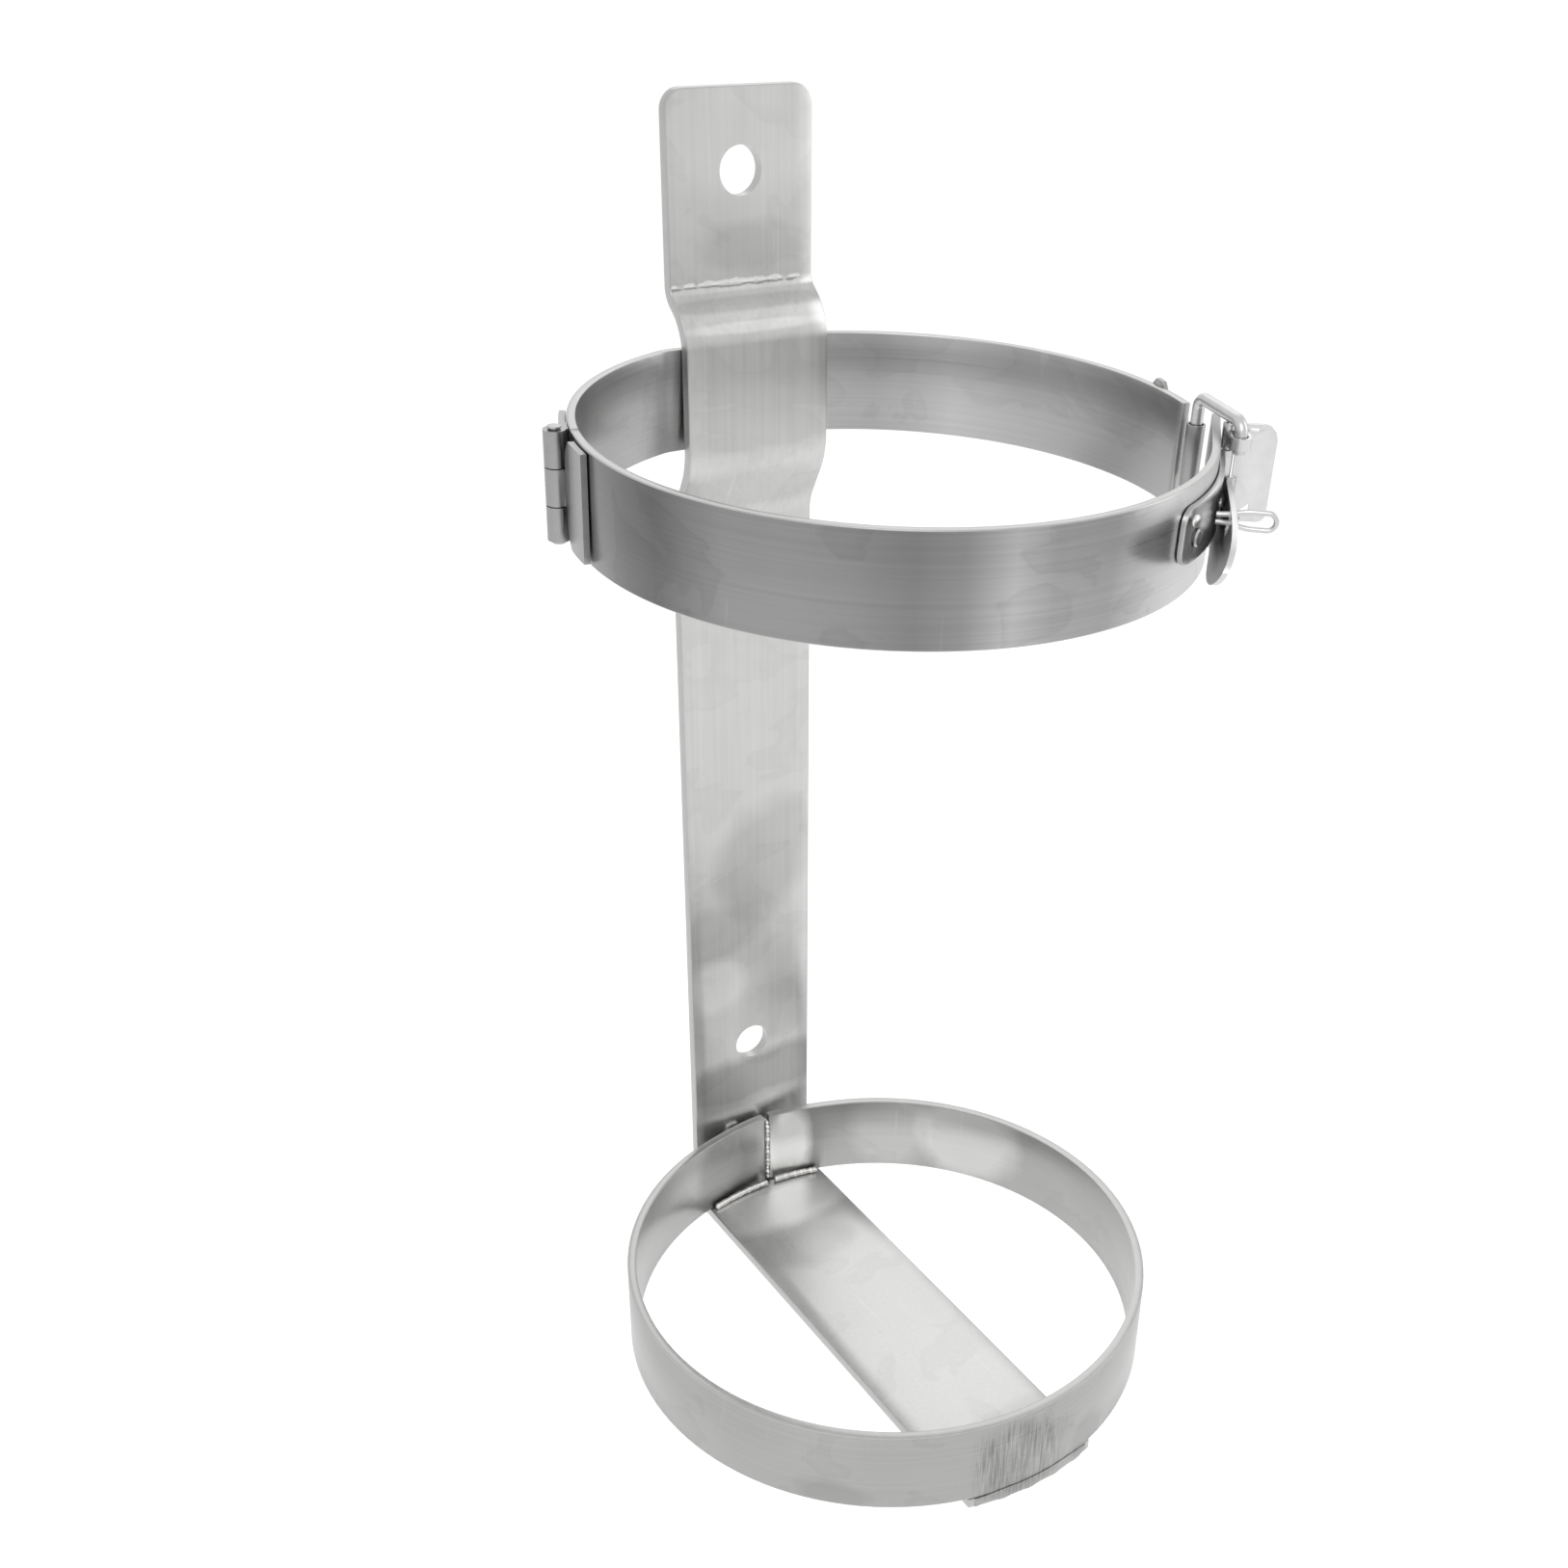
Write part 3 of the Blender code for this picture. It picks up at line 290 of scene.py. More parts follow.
# A painted highlight on the bar's foot under the ring, and two darker patches.
FOOT_LIGHT_AND_PATCHES = [((0, 58, 3), (30, 10, 2.6), 0.55, 0.6, 70.0), ((-6, 38, 3), (20, 9, 2.6), -0.12, 0.9, 80.0),
              ((6, -58, 3), (24, 10, 2.6), -0.12, 0.9, 90.0)]
CRACKED_FOLD = [((0, 75.4, 279.9), (21, 2.4, 0.6), 0.5, 3.2, 330.0),
                ((0, 75.4, 279.2), (21, 2.4, 0.4), -0.45, 3.6, 330.0)]
# Painted highlights on the inside of the ring towards the wall, and darker patches at three places.
RING_HIGHLIGHTS_AND_PATCHES = [((9.5, 70, 15), (8, 7, 17), 1.5, 0.2, 90.0), ((-14, 69, 15), (13, 7, 17), -0.25, 0.3, 60.0),
              ((58, 40, 18), (16, 18, 16), 0.5, 0.6, 60.0), ((40, 58, 18), (14, 12, 16), 0.25, 0.6, 60.0),
              ((-50, -52, 6), (9, 12, 6), -0.14, 1.0, 100.0), ((18, -70, 7), (7, 10, 8), -0.14, 1.0, 160.0)]
RING_GROUND = ((-6, -73.5, 13), (17, 5, 14), 0.9, 130.0)
# Painted reflection: brightness of the upright stripes by angle round each half of the band, lighter towards
# the latch.
FRONT_REFLECTION_STRIPES = [(-180, 0.84), (-172, 0.66), (-164, 0.56), (-150, 1.02), (-140, 1.0), (-130, 0.90),
               (-120, 0.72), (-112, 0.92), (-104, 1.6), (-97, 1.22), (-86, 1.06), (-76, 1.6), (-68, 1.9),
               (-30, 1.7), (20, 0.84)]
REAR_REFLECTION_STRIPES = [(-10, 1.0), (12, 1.0), (30, 1.08), (43, 1.22), (52, 1.0), (60, 0.90), (75, 1.0), (110, 1.05),
              (130, 1.2)]
UPRIGHT_GRAIN, RING_GRAIN, BAND_GRAIN = (900.0, 900.0, 14.0), (10.0, 10.0, 1500.0), (10.0, 10.0, 1800.0)

BAR_STEEL = steel("bar_steel", (0.53, 0.53, 0.525), 0.33, UPRIGHT_GRAIN, cloud=0.22, stain=0.05,
                  spots=BAR_SHADE_AND_LIGHT_BY_RING + BAR_PATCHES + JOGGLE_SHADE_AND_LIGHT + FOOT_LIGHT_AND_PATCHES + CRACKED_FOLD)
EDGE_STEEL = steel("cut_edge_steel", (0.44, 0.44, 0.435), 0.32, (300.0,) * 3, cloud=0.2)
RING_STEEL = steel("ring_steel", (0.36, 0.36, 0.355), 0.32, RING_GRAIN, cloud=0.20, stain=0.06,
                   spots=RING_HIGHLIGHTS_AND_PATCHES, ground=RING_GROUND)
# Painted shade: the front half of the band is given a darker tone than the rear half, though both are the
# same steel.
FRONT_BAND_SHADED_STEEL = steel("band_steel", (0.26,) * 3, 0.30, BAND_GRAIN, streak=0.14, cloud=0.18, tall=0.5,
                   stain=0.09, lean=-BAND_LEAN, reflection_stripes=FRONT_REFLECTION_STRIPES)
REAR_BAND_LIT_STEEL = steel("rear_band_steel", (0.36,) * 3, 0.31, BAND_GRAIN, streak=0.12, cloud=0.16, tall=0.5,
                   stain=0.06, lean=-BAND_LEAN, reflection_stripes=REAR_REFLECTION_STRIPES)
# Painted light and shade: one pressed steel in a lighter copy and a darker copy.
LIT_PRESSED_STEEL = steel("pressed_steel", (0.62,) * 3, 0.30, (400.0,) * 3, cloud=0.14)
SHADED_PRESSED_STEEL = steel("dark_pressed_steel", (0.33,) * 3, 0.34, (400.0,) * 3, cloud=0.2)
WIRE_STEEL = steel("wire_steel", (0.56,) * 3, 0.34, (500.0, 500.0, 60.0), cloud=0.12)
WELD_STEEL = steel("weld_steel", (0.68, 0.675, 0.66), 0.36, (700.0,) * 3, streak=0.25, cloud=0.4, bump=0.3)
print("finishes", [m.name for m in bpy.data.materials if m.name.endswith("steel")])

# %% [markdown]
# ## From a surface to a piece of sheet
# A drawn surface has no thickness. Solidify gives it its gauge behind (-1) or before (1) the surface,
# the rim gets the cut-edge metal, and a small bevel breaks the edges so that they catch light. A ring or
# a band keeps its outer radius, so `inward` says which of the two sides is the inner one.

# %% Give a surface its gauge
SOFT_EDGE, BAR_EDGE = 0.3 * MM, 0.35 * MM


def gauge(ob, thick, side, face_steel, rim_steel, edge=SOFT_EDGE):
    bpy.ops.object.mode_set(mode="OBJECT")
    ob.data.materials.clear()
    ob.data.materials.append(face_steel)
    ob.data.materials.append(rim_steel)
    settle(ob, "SOLIDIFY", thickness=thick, offset=side, use_even_offset=True, material_offset_rim=1)
    settle(ob, "BEVEL", width=edge, segments=2, limit_method="ANGLE", angle_limit=math.radians(50),
           material=1)
    bpy.ops.object.shade_smooth_by_angle(angle=math.radians(35))


def inward(ob):
    bpy.ops.object.mode_set(mode="OBJECT")
    face = ob.data.polygons[len(ob.data.polygons) // 2]
    return -1.0 if face.normal.x * face.center.x + face.normal.y * face.center.y > 0.0 else 1.0


def radii(ob):
    far = [math.hypot(v.co.x, v.co.y) / MM for v in ob.data.vertices]
    return "%s: radius %.2f to %.2f mm, %d faces" % (ob.name, min(far), max(far), len(ob.data.polygons))


print("sheet edges are broken by", round(SOFT_EDGE / MM, 2), "mm, the bar's by", round(BAR_EDGE / MM, 2))

# %% [markdown]
# ## The flat bar
# One bar of 40 by 3 mm is folded at the foot, joggled out round the band and trimmed at the top. It is
# drawn as a profile in eight columns, so that the end under the ring can follow the ring's curve. The
# folds are bevelled edges, and the two screw holes are cut with cylinders.

# %% Fold the bar
LEG_Y, JOGGLE_Y = 75.55 * MM, 67.6 * MM
OUT_LOW, OUT_HIGH, BACK_LOW, BACK_HIGH = 222.0 * MM, 236.3 * MM, 272.0 * MM, 278.5 * MM
CORNER, END_RUN, NEAR = 4.9 * MM, 5.0 * MM, 0.01 * MM
SCREW_HOLES = [(305.2 * MM, 11.5 * MM), (55.0 * MM, 11.0 * MM)]

bar = first_edge("flat_bar", Vector((-BAR_W / 2, -RING_R, BAR_T)), Vector((BAR_W / 2, -RING_R, BAR_T)))
bpy.ops.mesh.subdivide(number_cuts=7)
path = [(-RING_R, BAR_T), (END_RUN - RING_R, BAR_T), (LEG_Y, BAR_T), (LEG_Y, OUT_LOW), (JOGGLE_Y, OUT_HIGH),
        (JOGGLE_Y, BACK_LOW), (LEG_Y, BACK_HIGH), (LEG_Y, BAR_TOP - END_RUN), (LEG_Y, BAR_TOP)]
for (y0, z0), (y1, z1) in zip(path, path[1:]):
    bpy.ops.mesh.extrude_region_move(TRANSFORM_OT_translate={"value": (0.0, y1 - y0, z1 - z0)})
folds = [(LEG_Y, BAR_T, 2.4), (LEG_Y, OUT_LOW, 2.6), (JOGGLE_Y, OUT_HIGH, 4.6), (JOGGLE_Y, BACK_LOW, 6.2),
         (LEG_Y, BACK_HIGH, 1.5)]
for y, z, reach in folds:
    pick(bar, lambda p: abs(p.y - y) < NEAR and abs(p.z - z) < NEAR)
    bpy.ops.mesh.bevel(offset=reach * MM, segments=8, affect="EDGES")
pick(bar, lambda p: abs(abs(p.x) - BAR_W / 2) < NEAR and abs(p.z - BAR_TOP) < NEAR)
bpy.ops.mesh.bevel(offset=CORNER, segments=8, affect="VERTICES")
for v in bmesh.from_edit_mesh(bar.data).verts:
    if v.co.y < 1.0 * MM - RING_R:
        v.co.y = -math.sqrt(RING_R ** 2 - v.co.x ** 2)
gauge(bar, BAR_T, -1.0, BAR_STEEL, EDGE_STEEL, BAR_EDGE)
for z, wide in SCREW_HOLES:
    bpy.ops.mesh.primitive_cylinder_add(vertices=48, radius=wide / 2, depth=20 * MM, location=(0, LEG_Y, z),
                                        rotation=(math.pi / 2, 0, 0))
    drill = bpy.context.object
    drill.data.materials.append(EDGE_STEEL)
    settle(bar, "BOOLEAN", object=drill, operation="DIFFERENCE", solver="EXACT", material_mode="TRANSFER")
    bpy.data.objects.remove(drill)
bpy.ops.object.shade_smooth_by_angle(angle=math.radians(35))
print("flat bar", len(bar.data.polygons), "faces")

# %% [markdown]
# ## The ring at the foot
# The ring is flat strip rolled on edge, so one upright edge is spun round the axis. The spin stops two
# millimetres short, which leaves the open seam at the back, and the last few degrees are pulled out a
# little, because a roller can't curl the very ends of a strip.

# %% Roll the ring
RING_LOW, SEAM, SEAM_GAP = 3.3 * MM, 87.8, 2.0 * MM
END_PULL, PULL_ANG = 1.1 * MM, 14.0

half = math.degrees(SEAM_GAP / 2.0 / RING_R)
ring_start = SEAM + half
ring = first_edge("foot_ring", around(ring_start, RING_R, RING_LOW),
                  around(ring_start, RING_R, RING_LOW + RING_H))
bpy.ops.mesh.spin(steps=120, angle=math.radians(2.0 * half - 360.0), center=(0, 0, 0), axis=(0, 0, 1))
for v in bmesh.from_edit_mesh(ring.data).verts:
    off = abs((math.degrees(math.atan2(v.co.y, v.co.x)) - SEAM + 180.0) % 360.0 - 180.0)
    pull = 1.0 + max(0.0, 1.0 - off / PULL_ANG) * END_PULL / RING_R
    v.co.x, v.co.y = v.co.x * pull, v.co.y * pull
gauge(ring, RING_T, inward(ring), RING_STEEL, EDGE_STEEL, BAR_EDGE)
print(radii(ring))

# %% [markdown]
# ## The two halves of the band
# Both halves are spun like the ring. The rear half is pressed flat where it lies against the wall. The
# front half ends in a straight tip that carries the latch, because the press that pierced the rivet
# holes also took the curve out of it.

# %% Roll the bands
REAR_START, HINGE_GAP = -16.8, 0.25
BAND_FLAT, TIP_RUN = 68.5 * MM, 24.09 * MM


def hang(ob):
    take(ob)
    ob.matrix_world = BAND_PLACE
    bpy.ops.object.transform_apply(location=True, rotation=True, scale=True)


rear = first_edge("band_rear_half", around(REAR_START, BAND_R), around(REAR_START, BAND_R, BAND_H))
rear_sweep = math.radians(HINGE_GAP - HINGE_ANG + REAR_START)
bpy.ops.mesh.spin(steps=90, angle=rear_sweep, center=(0, 0, 0), axis=(0, 0, 1))
pick(rear, lambda p: p.y > BAND_FLAT)
bpy.ops.transform.resize(value=(1, 0, 1), center_override=(0, BAND_FLAT, 0))
gauge(rear, BAND_T, inward(rear), REAR_BAND_LIT_STEEL, EDGE_STEEL)
print(radii(rear))
hang(rear)

front_start = HINGE_ANG - 360.0 + HINGE_GAP
front = first_edge("band_front_half", around(front_start, BAND_R), around(front_start, BAND_R, BAND_H))
bpy.ops.mesh.spin(steps=76, angle=math.radians(front_start - TIP_ANG), center=(0, 0, 0), axis=(0, 0, 1))
bpy.ops.mesh.extrude_region_move(TRANSFORM_OT_translate={"value": around(TIP_ANG + 90.0, TIP_RUN)})
gauge(front, BAND_T, inward(front), FRONT_BAND_SHADED_STEEL, EDGE_STEEL)
print(radii(front))
hang(front)

# %% [markdown]
# ## Wire pieces
# A wire is a path with round corners. The path is one point drawn out step by step, its corners are
# bevelled, and it is turned into a curve that has a round section, then back into a mesh. Both wires
# are drawn in the band's own frame and hung in place at the end.

# %% Bend the wires


def wire(name, points, corners, radius):
    bpy.ops.object.select_all(action="DESELECT")
    bpy.ops.mesh.primitive_plane_add(size=MM)
    ob = bpy.context.object
    ob.name = name
    bpy.ops.object.mode_set(mode="EDIT")
    bpy.ops.mesh.merge(type="CENTER")
    bpy.ops.mesh.select_mode(type="VERT")
    bpy.ops.mesh.select_all(action="SELECT")
    bpy.ops.transform.translate(value=points[0])
    for a, b in zip(points, points[1:]):
        bpy.ops.mesh.extrude_region_move(TRANSFORM_OT_translate={"value": b - a})
    for corner, reach in corners:
        pick(ob, lambda p: (p - corner).length < NEAR)
        bpy.ops.mesh.bevel(offset=reach, segments=8, affect="VERTICES")
    bpy.ops.object.mode_set(mode="OBJECT")
    bpy.ops.object.convert(target="CURVE")
    ob = bpy.context.object
    ob.data.bevel_depth = radius
    ob.data.bevel_resolution = 5
    ob.data.use_fill_caps = True
    bpy.ops.object.convert(target="MESH")
    ob = bpy.context.object
    ob.data.materials.clear()
    ob.data.materials.append(WIRE_STEEL)
    bpy.ops.object.mode_set(mode="EDIT")
    bpy.ops.mesh.select_all(action="SELECT")
    bpy.ops.mesh.remove_doubles(threshold=0.005 * MM)
    bpy.ops.mesh.normals_make_consistent(inside=False)
    bpy.ops.object.mode_set(mode="OBJECT")
    bpy.ops.object.shade_smooth_by_angle(angle=math.radians(50))
    hang(ob)
    return ob


def at(place, height):
    return place + Vector((0.0, 0.0, height))


EYE, TIP = Vector((62.421, -44.822, 0.0)) * MM, Vector((67.484, -25.097, 0.0)) * MM
LOOP_HIGH, LOOP_LOW, LOOP_BEND, LOOP_WIRE = 27.8 * MM, -1.85 * MM, 2.7 * MM, 1.45 * MM
HIGH_END, LOW_END = 20.9 * MM, 7.4 * MM
bends = [at(EYE, LOOP_HIGH), at(TIP, LOOP_HIGH), at(TIP, LOOP_LOW), at(EYE, LOOP_LOW)]
loop_path = [at(EYE, HIGH_END)] + bends + [at(EYE, LOW_END)]
loop = wire("wire_loop", loop_path, [(p, LOOP_BEND) for p in bends], LOOP_WIRE)

SEAL_ANG, SEAL_WIRE, SEAL_BEND, SEAL_END_BEND = -41.0, 0.6 * MM, 1.6 * MM, 1.85 * MM
seal_root = around(-54.6, 73.8 * MM, 14.3 * MM) + around(SEAL_ANG, 0.26 * MM)
leg = [(0, 0.8), (2, 0.8), (6.4, 1.9), (12.8, 1.9)]
outline = leg + [(run, -rise) for run, rise in reversed(leg)]
seal_path = [seal_root + around(SEAL_ANG, run * MM, rise * MM) for run, rise in outline]
seal_bends = [(seal_path[i], SEAL_END_BEND if i in (3, 4) else SEAL_BEND) for i in range(1, 7)]
seal_loop = wire("seal_loop", seal_path, seal_bends, SEAL_WIRE)
print("wires", len(loop.data.polygons), len(seal_loop.data.polygons))

# %% [markdown]
# ## The roller
# A short tube turns on the loop's upright and is what meets the strike. It is a cylinder whose two ends
# are inset and joined through the middle.

# %% Turn the roller
ROLLER_R, ROLLER_LONG, ROLLER_MID = 2.2 * MM, 14.8 * MM, 14.1 * MM
ROLLER_WALL, ROLLER_EDGE = 0.45 * MM, 0.15 * MM
bpy.ops.mesh.primitive_cylinder_add(vertices=40, radius=ROLLER_R, depth=ROLLER_LONG,
                                    location=at(TIP, ROLLER_MID))
roller = bpy.context.object
roller.name = "loop_roller"
bpy.ops.object.transform_apply(location=True, rotation=True, scale=True)
bpy.ops.object.mode_set(mode="EDIT")
bpy.ops.mesh.select_mode(type="FACE")
bpy.ops.mesh.select_all(action="DESELECT")
for face in bmesh.from_edit_mesh(roller.data).faces:
    face.select = abs(face.normal.z) > 0.9
bmesh.update_edit_mesh(roller.data)
bpy.ops.mesh.inset(thickness=ROLLER_WALL, use_individual=True)
bpy.ops.mesh.bridge_edge_loops()
bpy.ops.object.mode_set(mode="OBJECT")
# The roller gets the darker copy of the pressed steel, as painted shade.
roller.data.materials.append(SHADED_PRESSED_STEEL)
settle(roller, "BEVEL", width=ROLLER_EDGE, segments=2, limit_method="ANGLE", angle_limit=math.radians(50))
bpy.ops.object.shade_smooth_by_angle(angle=math.radians(40))
hang(roller)
print("roller", len(roller.data.polygons), "faces")

# %% [markdown]
# ## Weld beads
# A bead of weld is a row of small puddles that ran into one another. Each puddle is a squashed sphere,
# the spheres are joined, and a remesh melts them into one lumpy skin.

# %% Lay the beads
BEAD_SKIN = 0.22 * MM


def bead(name, places, radius, squash=(1, 1, 1), turn=0.0):
    made = []
    for i, p in enumerate(places):
        size = radius * (1.0 + 0.09 * math.sin(2.3 * i) + 0.05 * math.sin(5.1 * i + 1.0))
        bpy.ops.mesh.primitive_ico_sphere_add(subdivisions=3, radius=size, location=p, scale=squash,
                                              rotation=(0, 0, math.radians(turn)))
        made.append(bpy.context.object)
    bpy.ops.object.select_all(action="DESELECT")
    for ob in made:
        ob.select_set(True)
    bpy.context.view_layer.objects.active = made[0]
    bpy.ops.object.join()
    ob = bpy.context.object
    ob.name = name
    bpy.ops.object.transform_apply(location=True, rotation=True, scale=True)
    settle(ob, "REMESH", mode="VOXEL", voxel_size=BEAD_SKIN)
    settle(ob, "SMOOTH", factor=0.5, iterations=2)
    ob.data.materials.clear()
    ob.data.materials.append(WELD_STEEL)
    bpy.ops.object.shade_smooth()
    return ob


def floor_row(start, count):
    return [around(start + 0.9 * k, 69.4 * MM, 4.05 * MM) for k in range(count)]


seam_row = [around(SEAM, 72.45 * MM, (4.7 + 1.6 * k) * MM) for k in range(14)]
seam_bead = bead("seam_bead", seam_row, 1.05 * MM, (1.75, 0.8, 1.0), SEAM)
tie_row = [Vector((-7.0, 74.13, 9.2 + 1.35 * k)) * MM for k in range(13)]
tie_bead = bead("bar_bead", tie_row, 0.9 * MM, (2.3, 1.0, 1.0))
left_bead = bead("floor_bead_left", floor_row(89.4, 18), 0.95 * MM)
right_bead = bead("floor_bead_right", floor_row(75.2, 13), 0.95 * MM)
print("beads", [len(b.data.polygons) for b in (seam_bead, tie_bead, left_bead, right_bead)])

# %% [markdown]
# ## The ground weld at the front
# The weld over the bar's front end was ground down until only a skin of it stands proud of the ring. It
# is one upright edge spun over 29 degrees, whose upper rim runs down at both ends and waves a little.

# %% Grind the front weld
SKIN_R, SKIN_T, SKIN_EDGE = 73.09 * MM, 0.08 * MM, 0.02 * MM
SKIN_LOW, SKIN_HIGH, SKIN_START, SKIN_SPAN = 0.4 * MM, 3.7 * MM, -104.5, 29.0
front_skin = first_edge("front_bead", around(SKIN_START, SKIN_R, SKIN_LOW),
                        around(SKIN_START, SKIN_R, SKIN_HIGH))
bpy.ops.mesh.spin(steps=32, angle=math.radians(-SKIN_SPAN), center=(0, 0, 0), axis=(0, 0, 1))
for v in bmesh.from_edit_mesh(front_skin.data).verts:
    t = (math.degrees(math.atan2(v.co.y, v.co.x)) + 90.0) / (SKIN_SPAN / 2.0)
    if v.co.z > BAR_T:
        v.co.z += -0.8 * MM * t ** 4 - 0.15 * MM * math.sin(9.0 * t) * t
    else:
        v.co.z += 0.35 * MM * math.sin(14.0 * t)
gauge(front_skin, SKIN_T, inward(front_skin), RING_STEEL, RING_STEEL, SKIN_EDGE)
print(radii(front_skin))

# %% [markdown]
# ## Pressed pieces
# The latch lever, its base plate, the hinge and the strike are small and exact, so a copy of each solid
# is used. Points on top of one another are merged and flat faces are joined. The two plates that are
# seen close also get a fine bevel.

# %% Take over the pressed pieces


def pressed(node, name, face_steel, edge=0.0, angle=30.0):
    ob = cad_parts[node].copy()
    ob.data = ob.data.copy()
    bpy.context.scene.collection.objects.link(ob)
    ob.parent = None
    for key in list(ob.keys()):
        del ob[key]
    ob.name = name
    take(ob)
    bpy.ops.object.mode_set(mode="EDIT")
    bpy.ops.mesh.select_all(action="SELECT")
    bpy.ops.mesh.remove_doubles(threshold=0.002 * MM)
    bpy.ops.mesh.dissolve_limited(angle_limit=math.radians(0.5))
    bpy.ops.mesh.normals_make_consistent(inside=False)
    bpy.ops.object.mode_set(mode="OBJECT")
    ob.data.materials.clear()
    ob.data.materials.append(face_steel)
    ob.data.materials.append(EDGE_STEEL)
    if edge:
        settle(ob, "BEVEL", width=edge, segments=2, limit_method="ANGLE",
               angle_limit=math.radians(angle + 15), material=1, use_clamp_overlap=True)
    bpy.ops.object.shade_smooth_by_angle(angle=math.radians(angle))
    return ob


PLATE_ANG = 25.0
# The lever and base plate get the lighter copy of the pressed steel as painted highlight; the hinge leaves
# and strike get the darker copy as painted shade.
lever = pressed("latch_lever", "toggle_lever", LIT_PRESSED_STEEL, 0.1 * MM, PLATE_ANG)
base = pressed("latch_base_plate", "toggle_base", LIT_PRESSED_STEEL, 0.16 * MM, PLATE_ANG)
leaf_rear = pressed("hinge_leaf_fixed", "hinge_leaf_rear", SHADED_PRESSED_STEEL)
leaf_front = pressed("hinge_leaf_moving", "hinge_leaf_front", SHADED_PRESSED_STEEL)
strike = pressed("strike_hook", "strike", SHADED_PRESSED_STEEL)
hinge_wire = pressed("hinge_pin", "hinge_pin_wire", EDGE_STEEL)
lever_wire = pressed("lever_pin", "lever_pin_wire", EDGE_STEEL)
rivet_near = pressed("base_rivet_1", "rivet_near", EDGE_STEEL)
rivet_far = pressed("base_rivet_2", "rivet_far", EDGE_STEEL)
tack = pressed("base_tack_weld", "base_tack", WELD_STEEL)
print("pressed pieces", len(lever.data.polygons), len(base.data.polygons))

# %% [markdown]
# ## What moves with what
# Each piece takes the place of its solid and rides on that solid's body, so the band swings on its
# hinge, the lever turns on the band, the wire loop turns on the lever and the roller turns on the wire.

# %% Hand the pieces to their bodies
table = [
    (bar, "back_strap", "wall_frame", "strap_steel"),
    (ring, "cradle_ring", "wall_frame", "ring_steel"),
    (seam_bead, "ring_seam_weld", "wall_frame", "weld_metal"),
    (tie_bead, "strap_ring_weld", "wall_frame", "weld_metal"),
    (left_bead, "floor_weld_left", "wall_frame", "weld_metal"),
    (right_bead, "floor_weld_right", "wall_frame", "weld_metal"),
    (front_skin, "front_weld", "wall_frame", "weld_metal"),
    (rear, "rear_band", "wall_frame", "band_steel"),
    (leaf_rear, "hinge_leaf_fixed", "wall_frame", "latch_steel"),
    (hinge_wire, "hinge_pin", "wall_frame", "latch_steel"),
    (strike, "strike_hook", "wall_frame", "latch_steel"),
    (front, "front_band", "swing_band", "band_steel"),
    (leaf_front, "hinge_leaf_moving", "swing_band", "latch_steel"),
    (base, "latch_base_plate", "swing_band", "latch_steel"),
    (rivet_near, "base_rivet_1", "swing_band", "latch_steel"),
    (rivet_far, "base_rivet_2", "swing_band", "latch_steel"),
    (tack, "base_tack_weld", "swing_band", "weld_metal"),
    (seal_loop, "safety_staple", "swing_band", "wire_steel"),
    (lever_wire, "lever_pin", "swing_band", "latch_steel"),
    (lever, "latch_lever", "toggle_lever", "latch_steel"),
    (loop, "wire_bail", "bail_loop", "wire_steel"),
    (roller, "bail_roller", "roller", "latch_steel"),
]
for ob, node, body, slot in table:
    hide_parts(node)
    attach(ob, body)
print(len(table), "pieces ride on", sorted({row[2] for row in table}))

# %% [markdown]
# ## Floor, light and camera
# The piece floats well above a pale floor in soft white light, as in a catalogue picture. Steel shows
# what it reflects, so three broad lamps in a white surround give it light and dark bands, beside the
# stripes of painted reflection in the band's finish. The floor glows very slightly, which keeps it as
# white as the surround up to the edge of the picture.

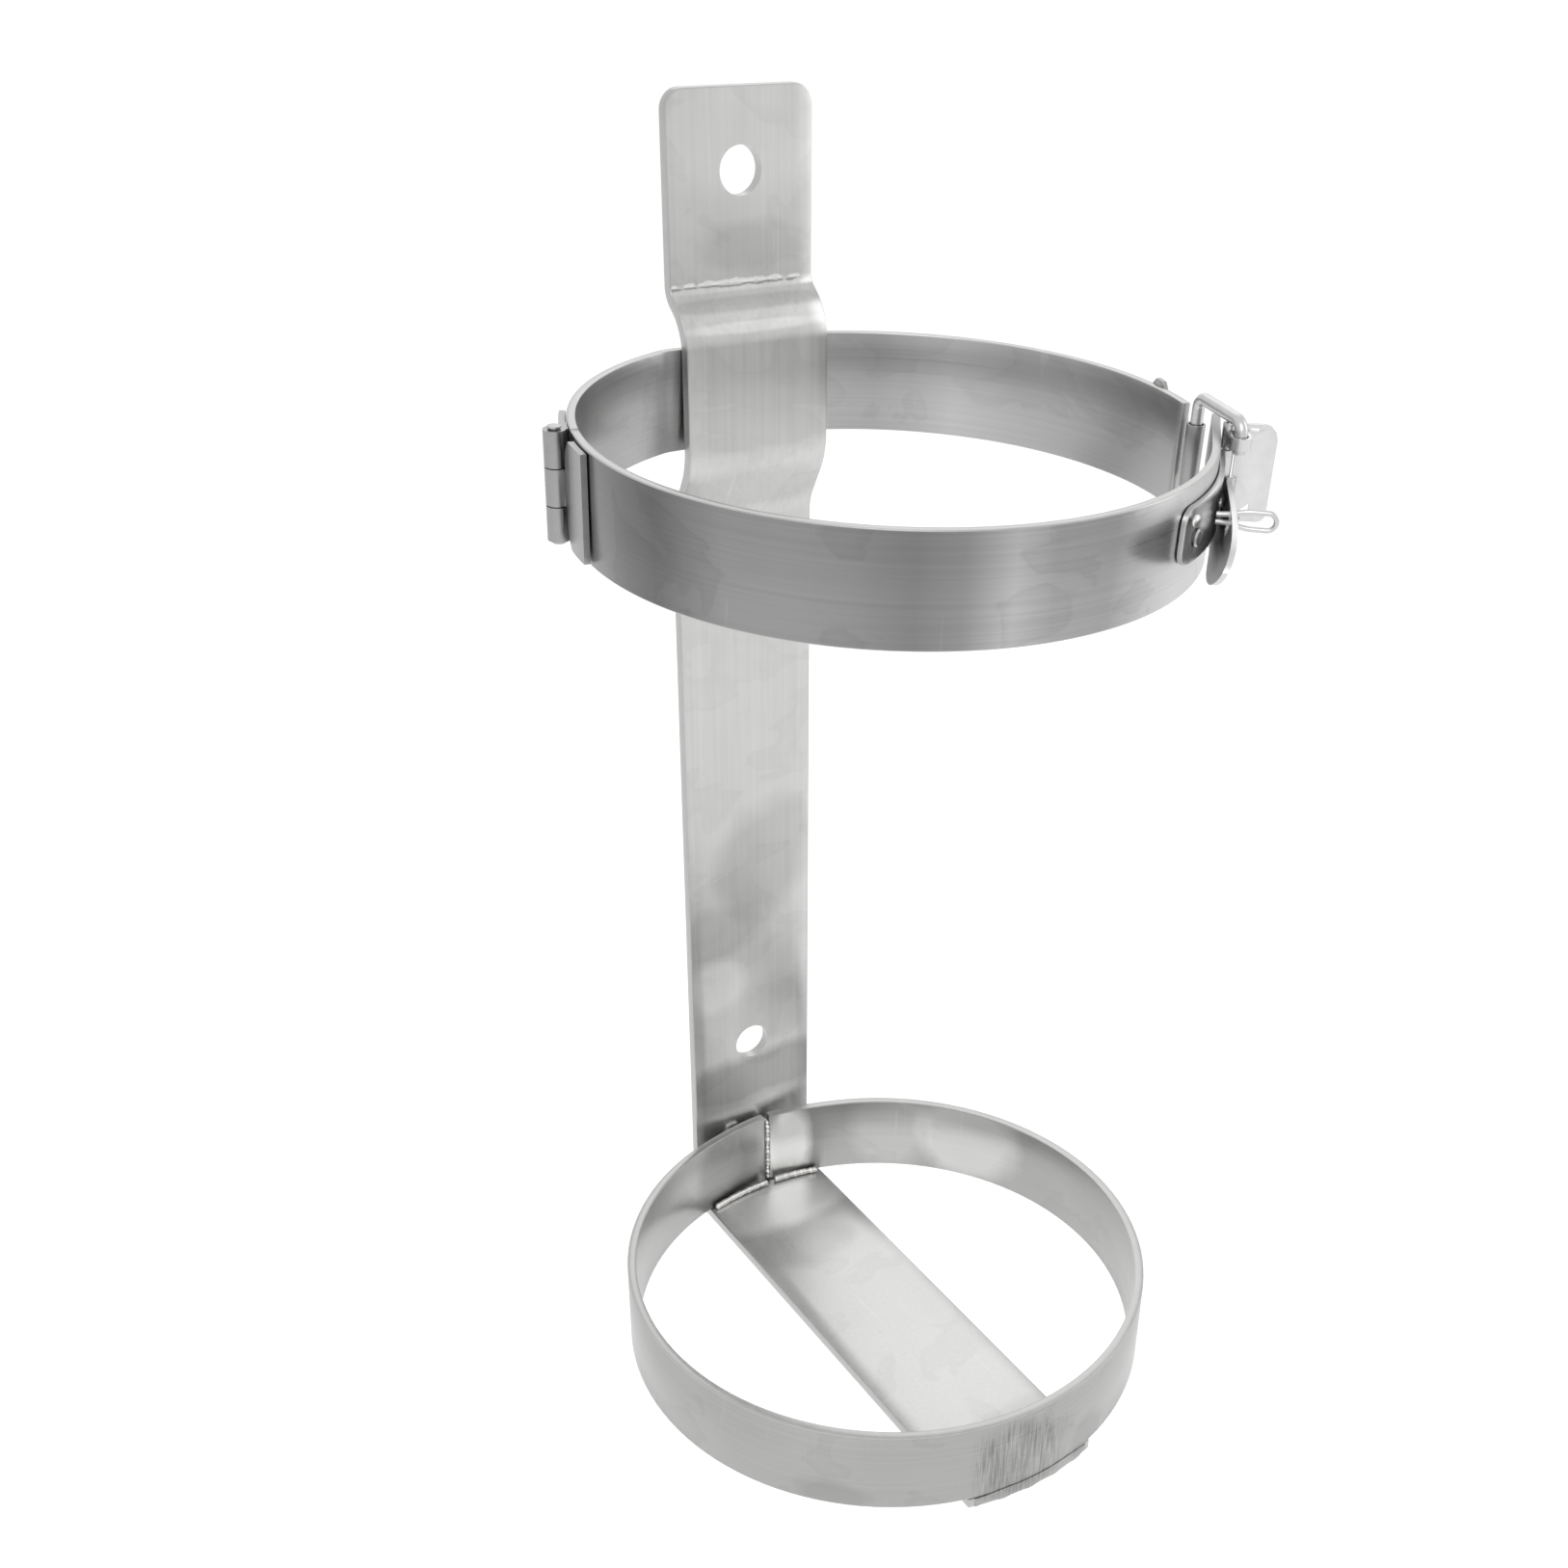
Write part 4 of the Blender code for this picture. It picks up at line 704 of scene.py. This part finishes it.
# %% Set the studio
WHITE, FLOOR_Z, FLOOR_SIZE = (1.0, 1.0, 1.0, 1.0), -0.30, 60.0
LAMPS = [("key", (-0.9, -1.1, 1.3), (0.0, 0.0, 0.15), (0.9, 0.9), 8.0),
         ("side", (1.3, -0.6, 0.7), (0.0, 0.0, 0.15), (0.6, 1.4), 4.0),
         ("back", (0.9, 1.25, 1.35), (0.0, 0.0, 0.0), (1.3, 1.3), 3.2)]
CAMERA_AT = (-0.23058, -0.33213, 0.36923)
CAMERA_RIGHT = Vector((0.83883, -0.54404, 0.01974))
CAMERA_UP = Vector((0.25634, 0.42671, 0.86730))
CAMERA_BACK = Vector((-0.48026, -0.72246, 0.49739))

bpy.ops.object.select_all(action="DESELECT")
bpy.ops.mesh.primitive_plane_add(size=FLOOR_SIZE, location=(0, 0, FLOOR_Z))
floor = bpy.context.object
floor.name = "floor"
floor_paint = bpy.data.materials.new("floor_paint")
floor_paint.use_nodes = True
paint = floor_paint.node_tree.nodes["Principled BSDF"].inputs
paint["Base Color"].default_value = (0.95, 0.95, 0.95, 1.0)
paint["Roughness"].default_value = 0.9
paint["Emission Color"].default_value = WHITE
paint["Emission Strength"].default_value = 0.06
floor.data.materials.append(floor_paint)

world = bpy.data.worlds.new("studio")
world.use_nodes = True
world.node_tree.nodes["Background"].inputs["Color"].default_value = WHITE
bpy.context.scene.world = world

for name, place, aim, size, power in LAMPS:
    bpy.ops.object.light_add(type="AREA", location=place)
    lamp = bpy.context.object
    lamp.name = name
    lamp.data.shape = "RECTANGLE"
    lamp.data.size, lamp.data.size_y = size
    lamp.data.energy = power
    lamp.rotation_euler = (Vector(aim) - Vector(place)).to_track_quat("-Z", "Y").to_euler()

bpy.ops.object.camera_add(location=CAMERA_AT)
cam = bpy.context.object
cam.rotation_euler = Matrix((CAMERA_RIGHT, CAMERA_UP, CAMERA_BACK)).transposed().to_euler()
cam.data.lens, cam.data.sensor_width = 41.97, 36.0
cam.data.shift_x, cam.data.shift_y = -0.0514, 0.0821
cam.data.clip_start = 0.01
bpy.context.scene.camera = cam
bpy.context.scene.view_settings.view_transform = "Standard"
print("camera at", [round(c, 3) for c in cam.location], "lamps", [row[0] for row in LAMPS])
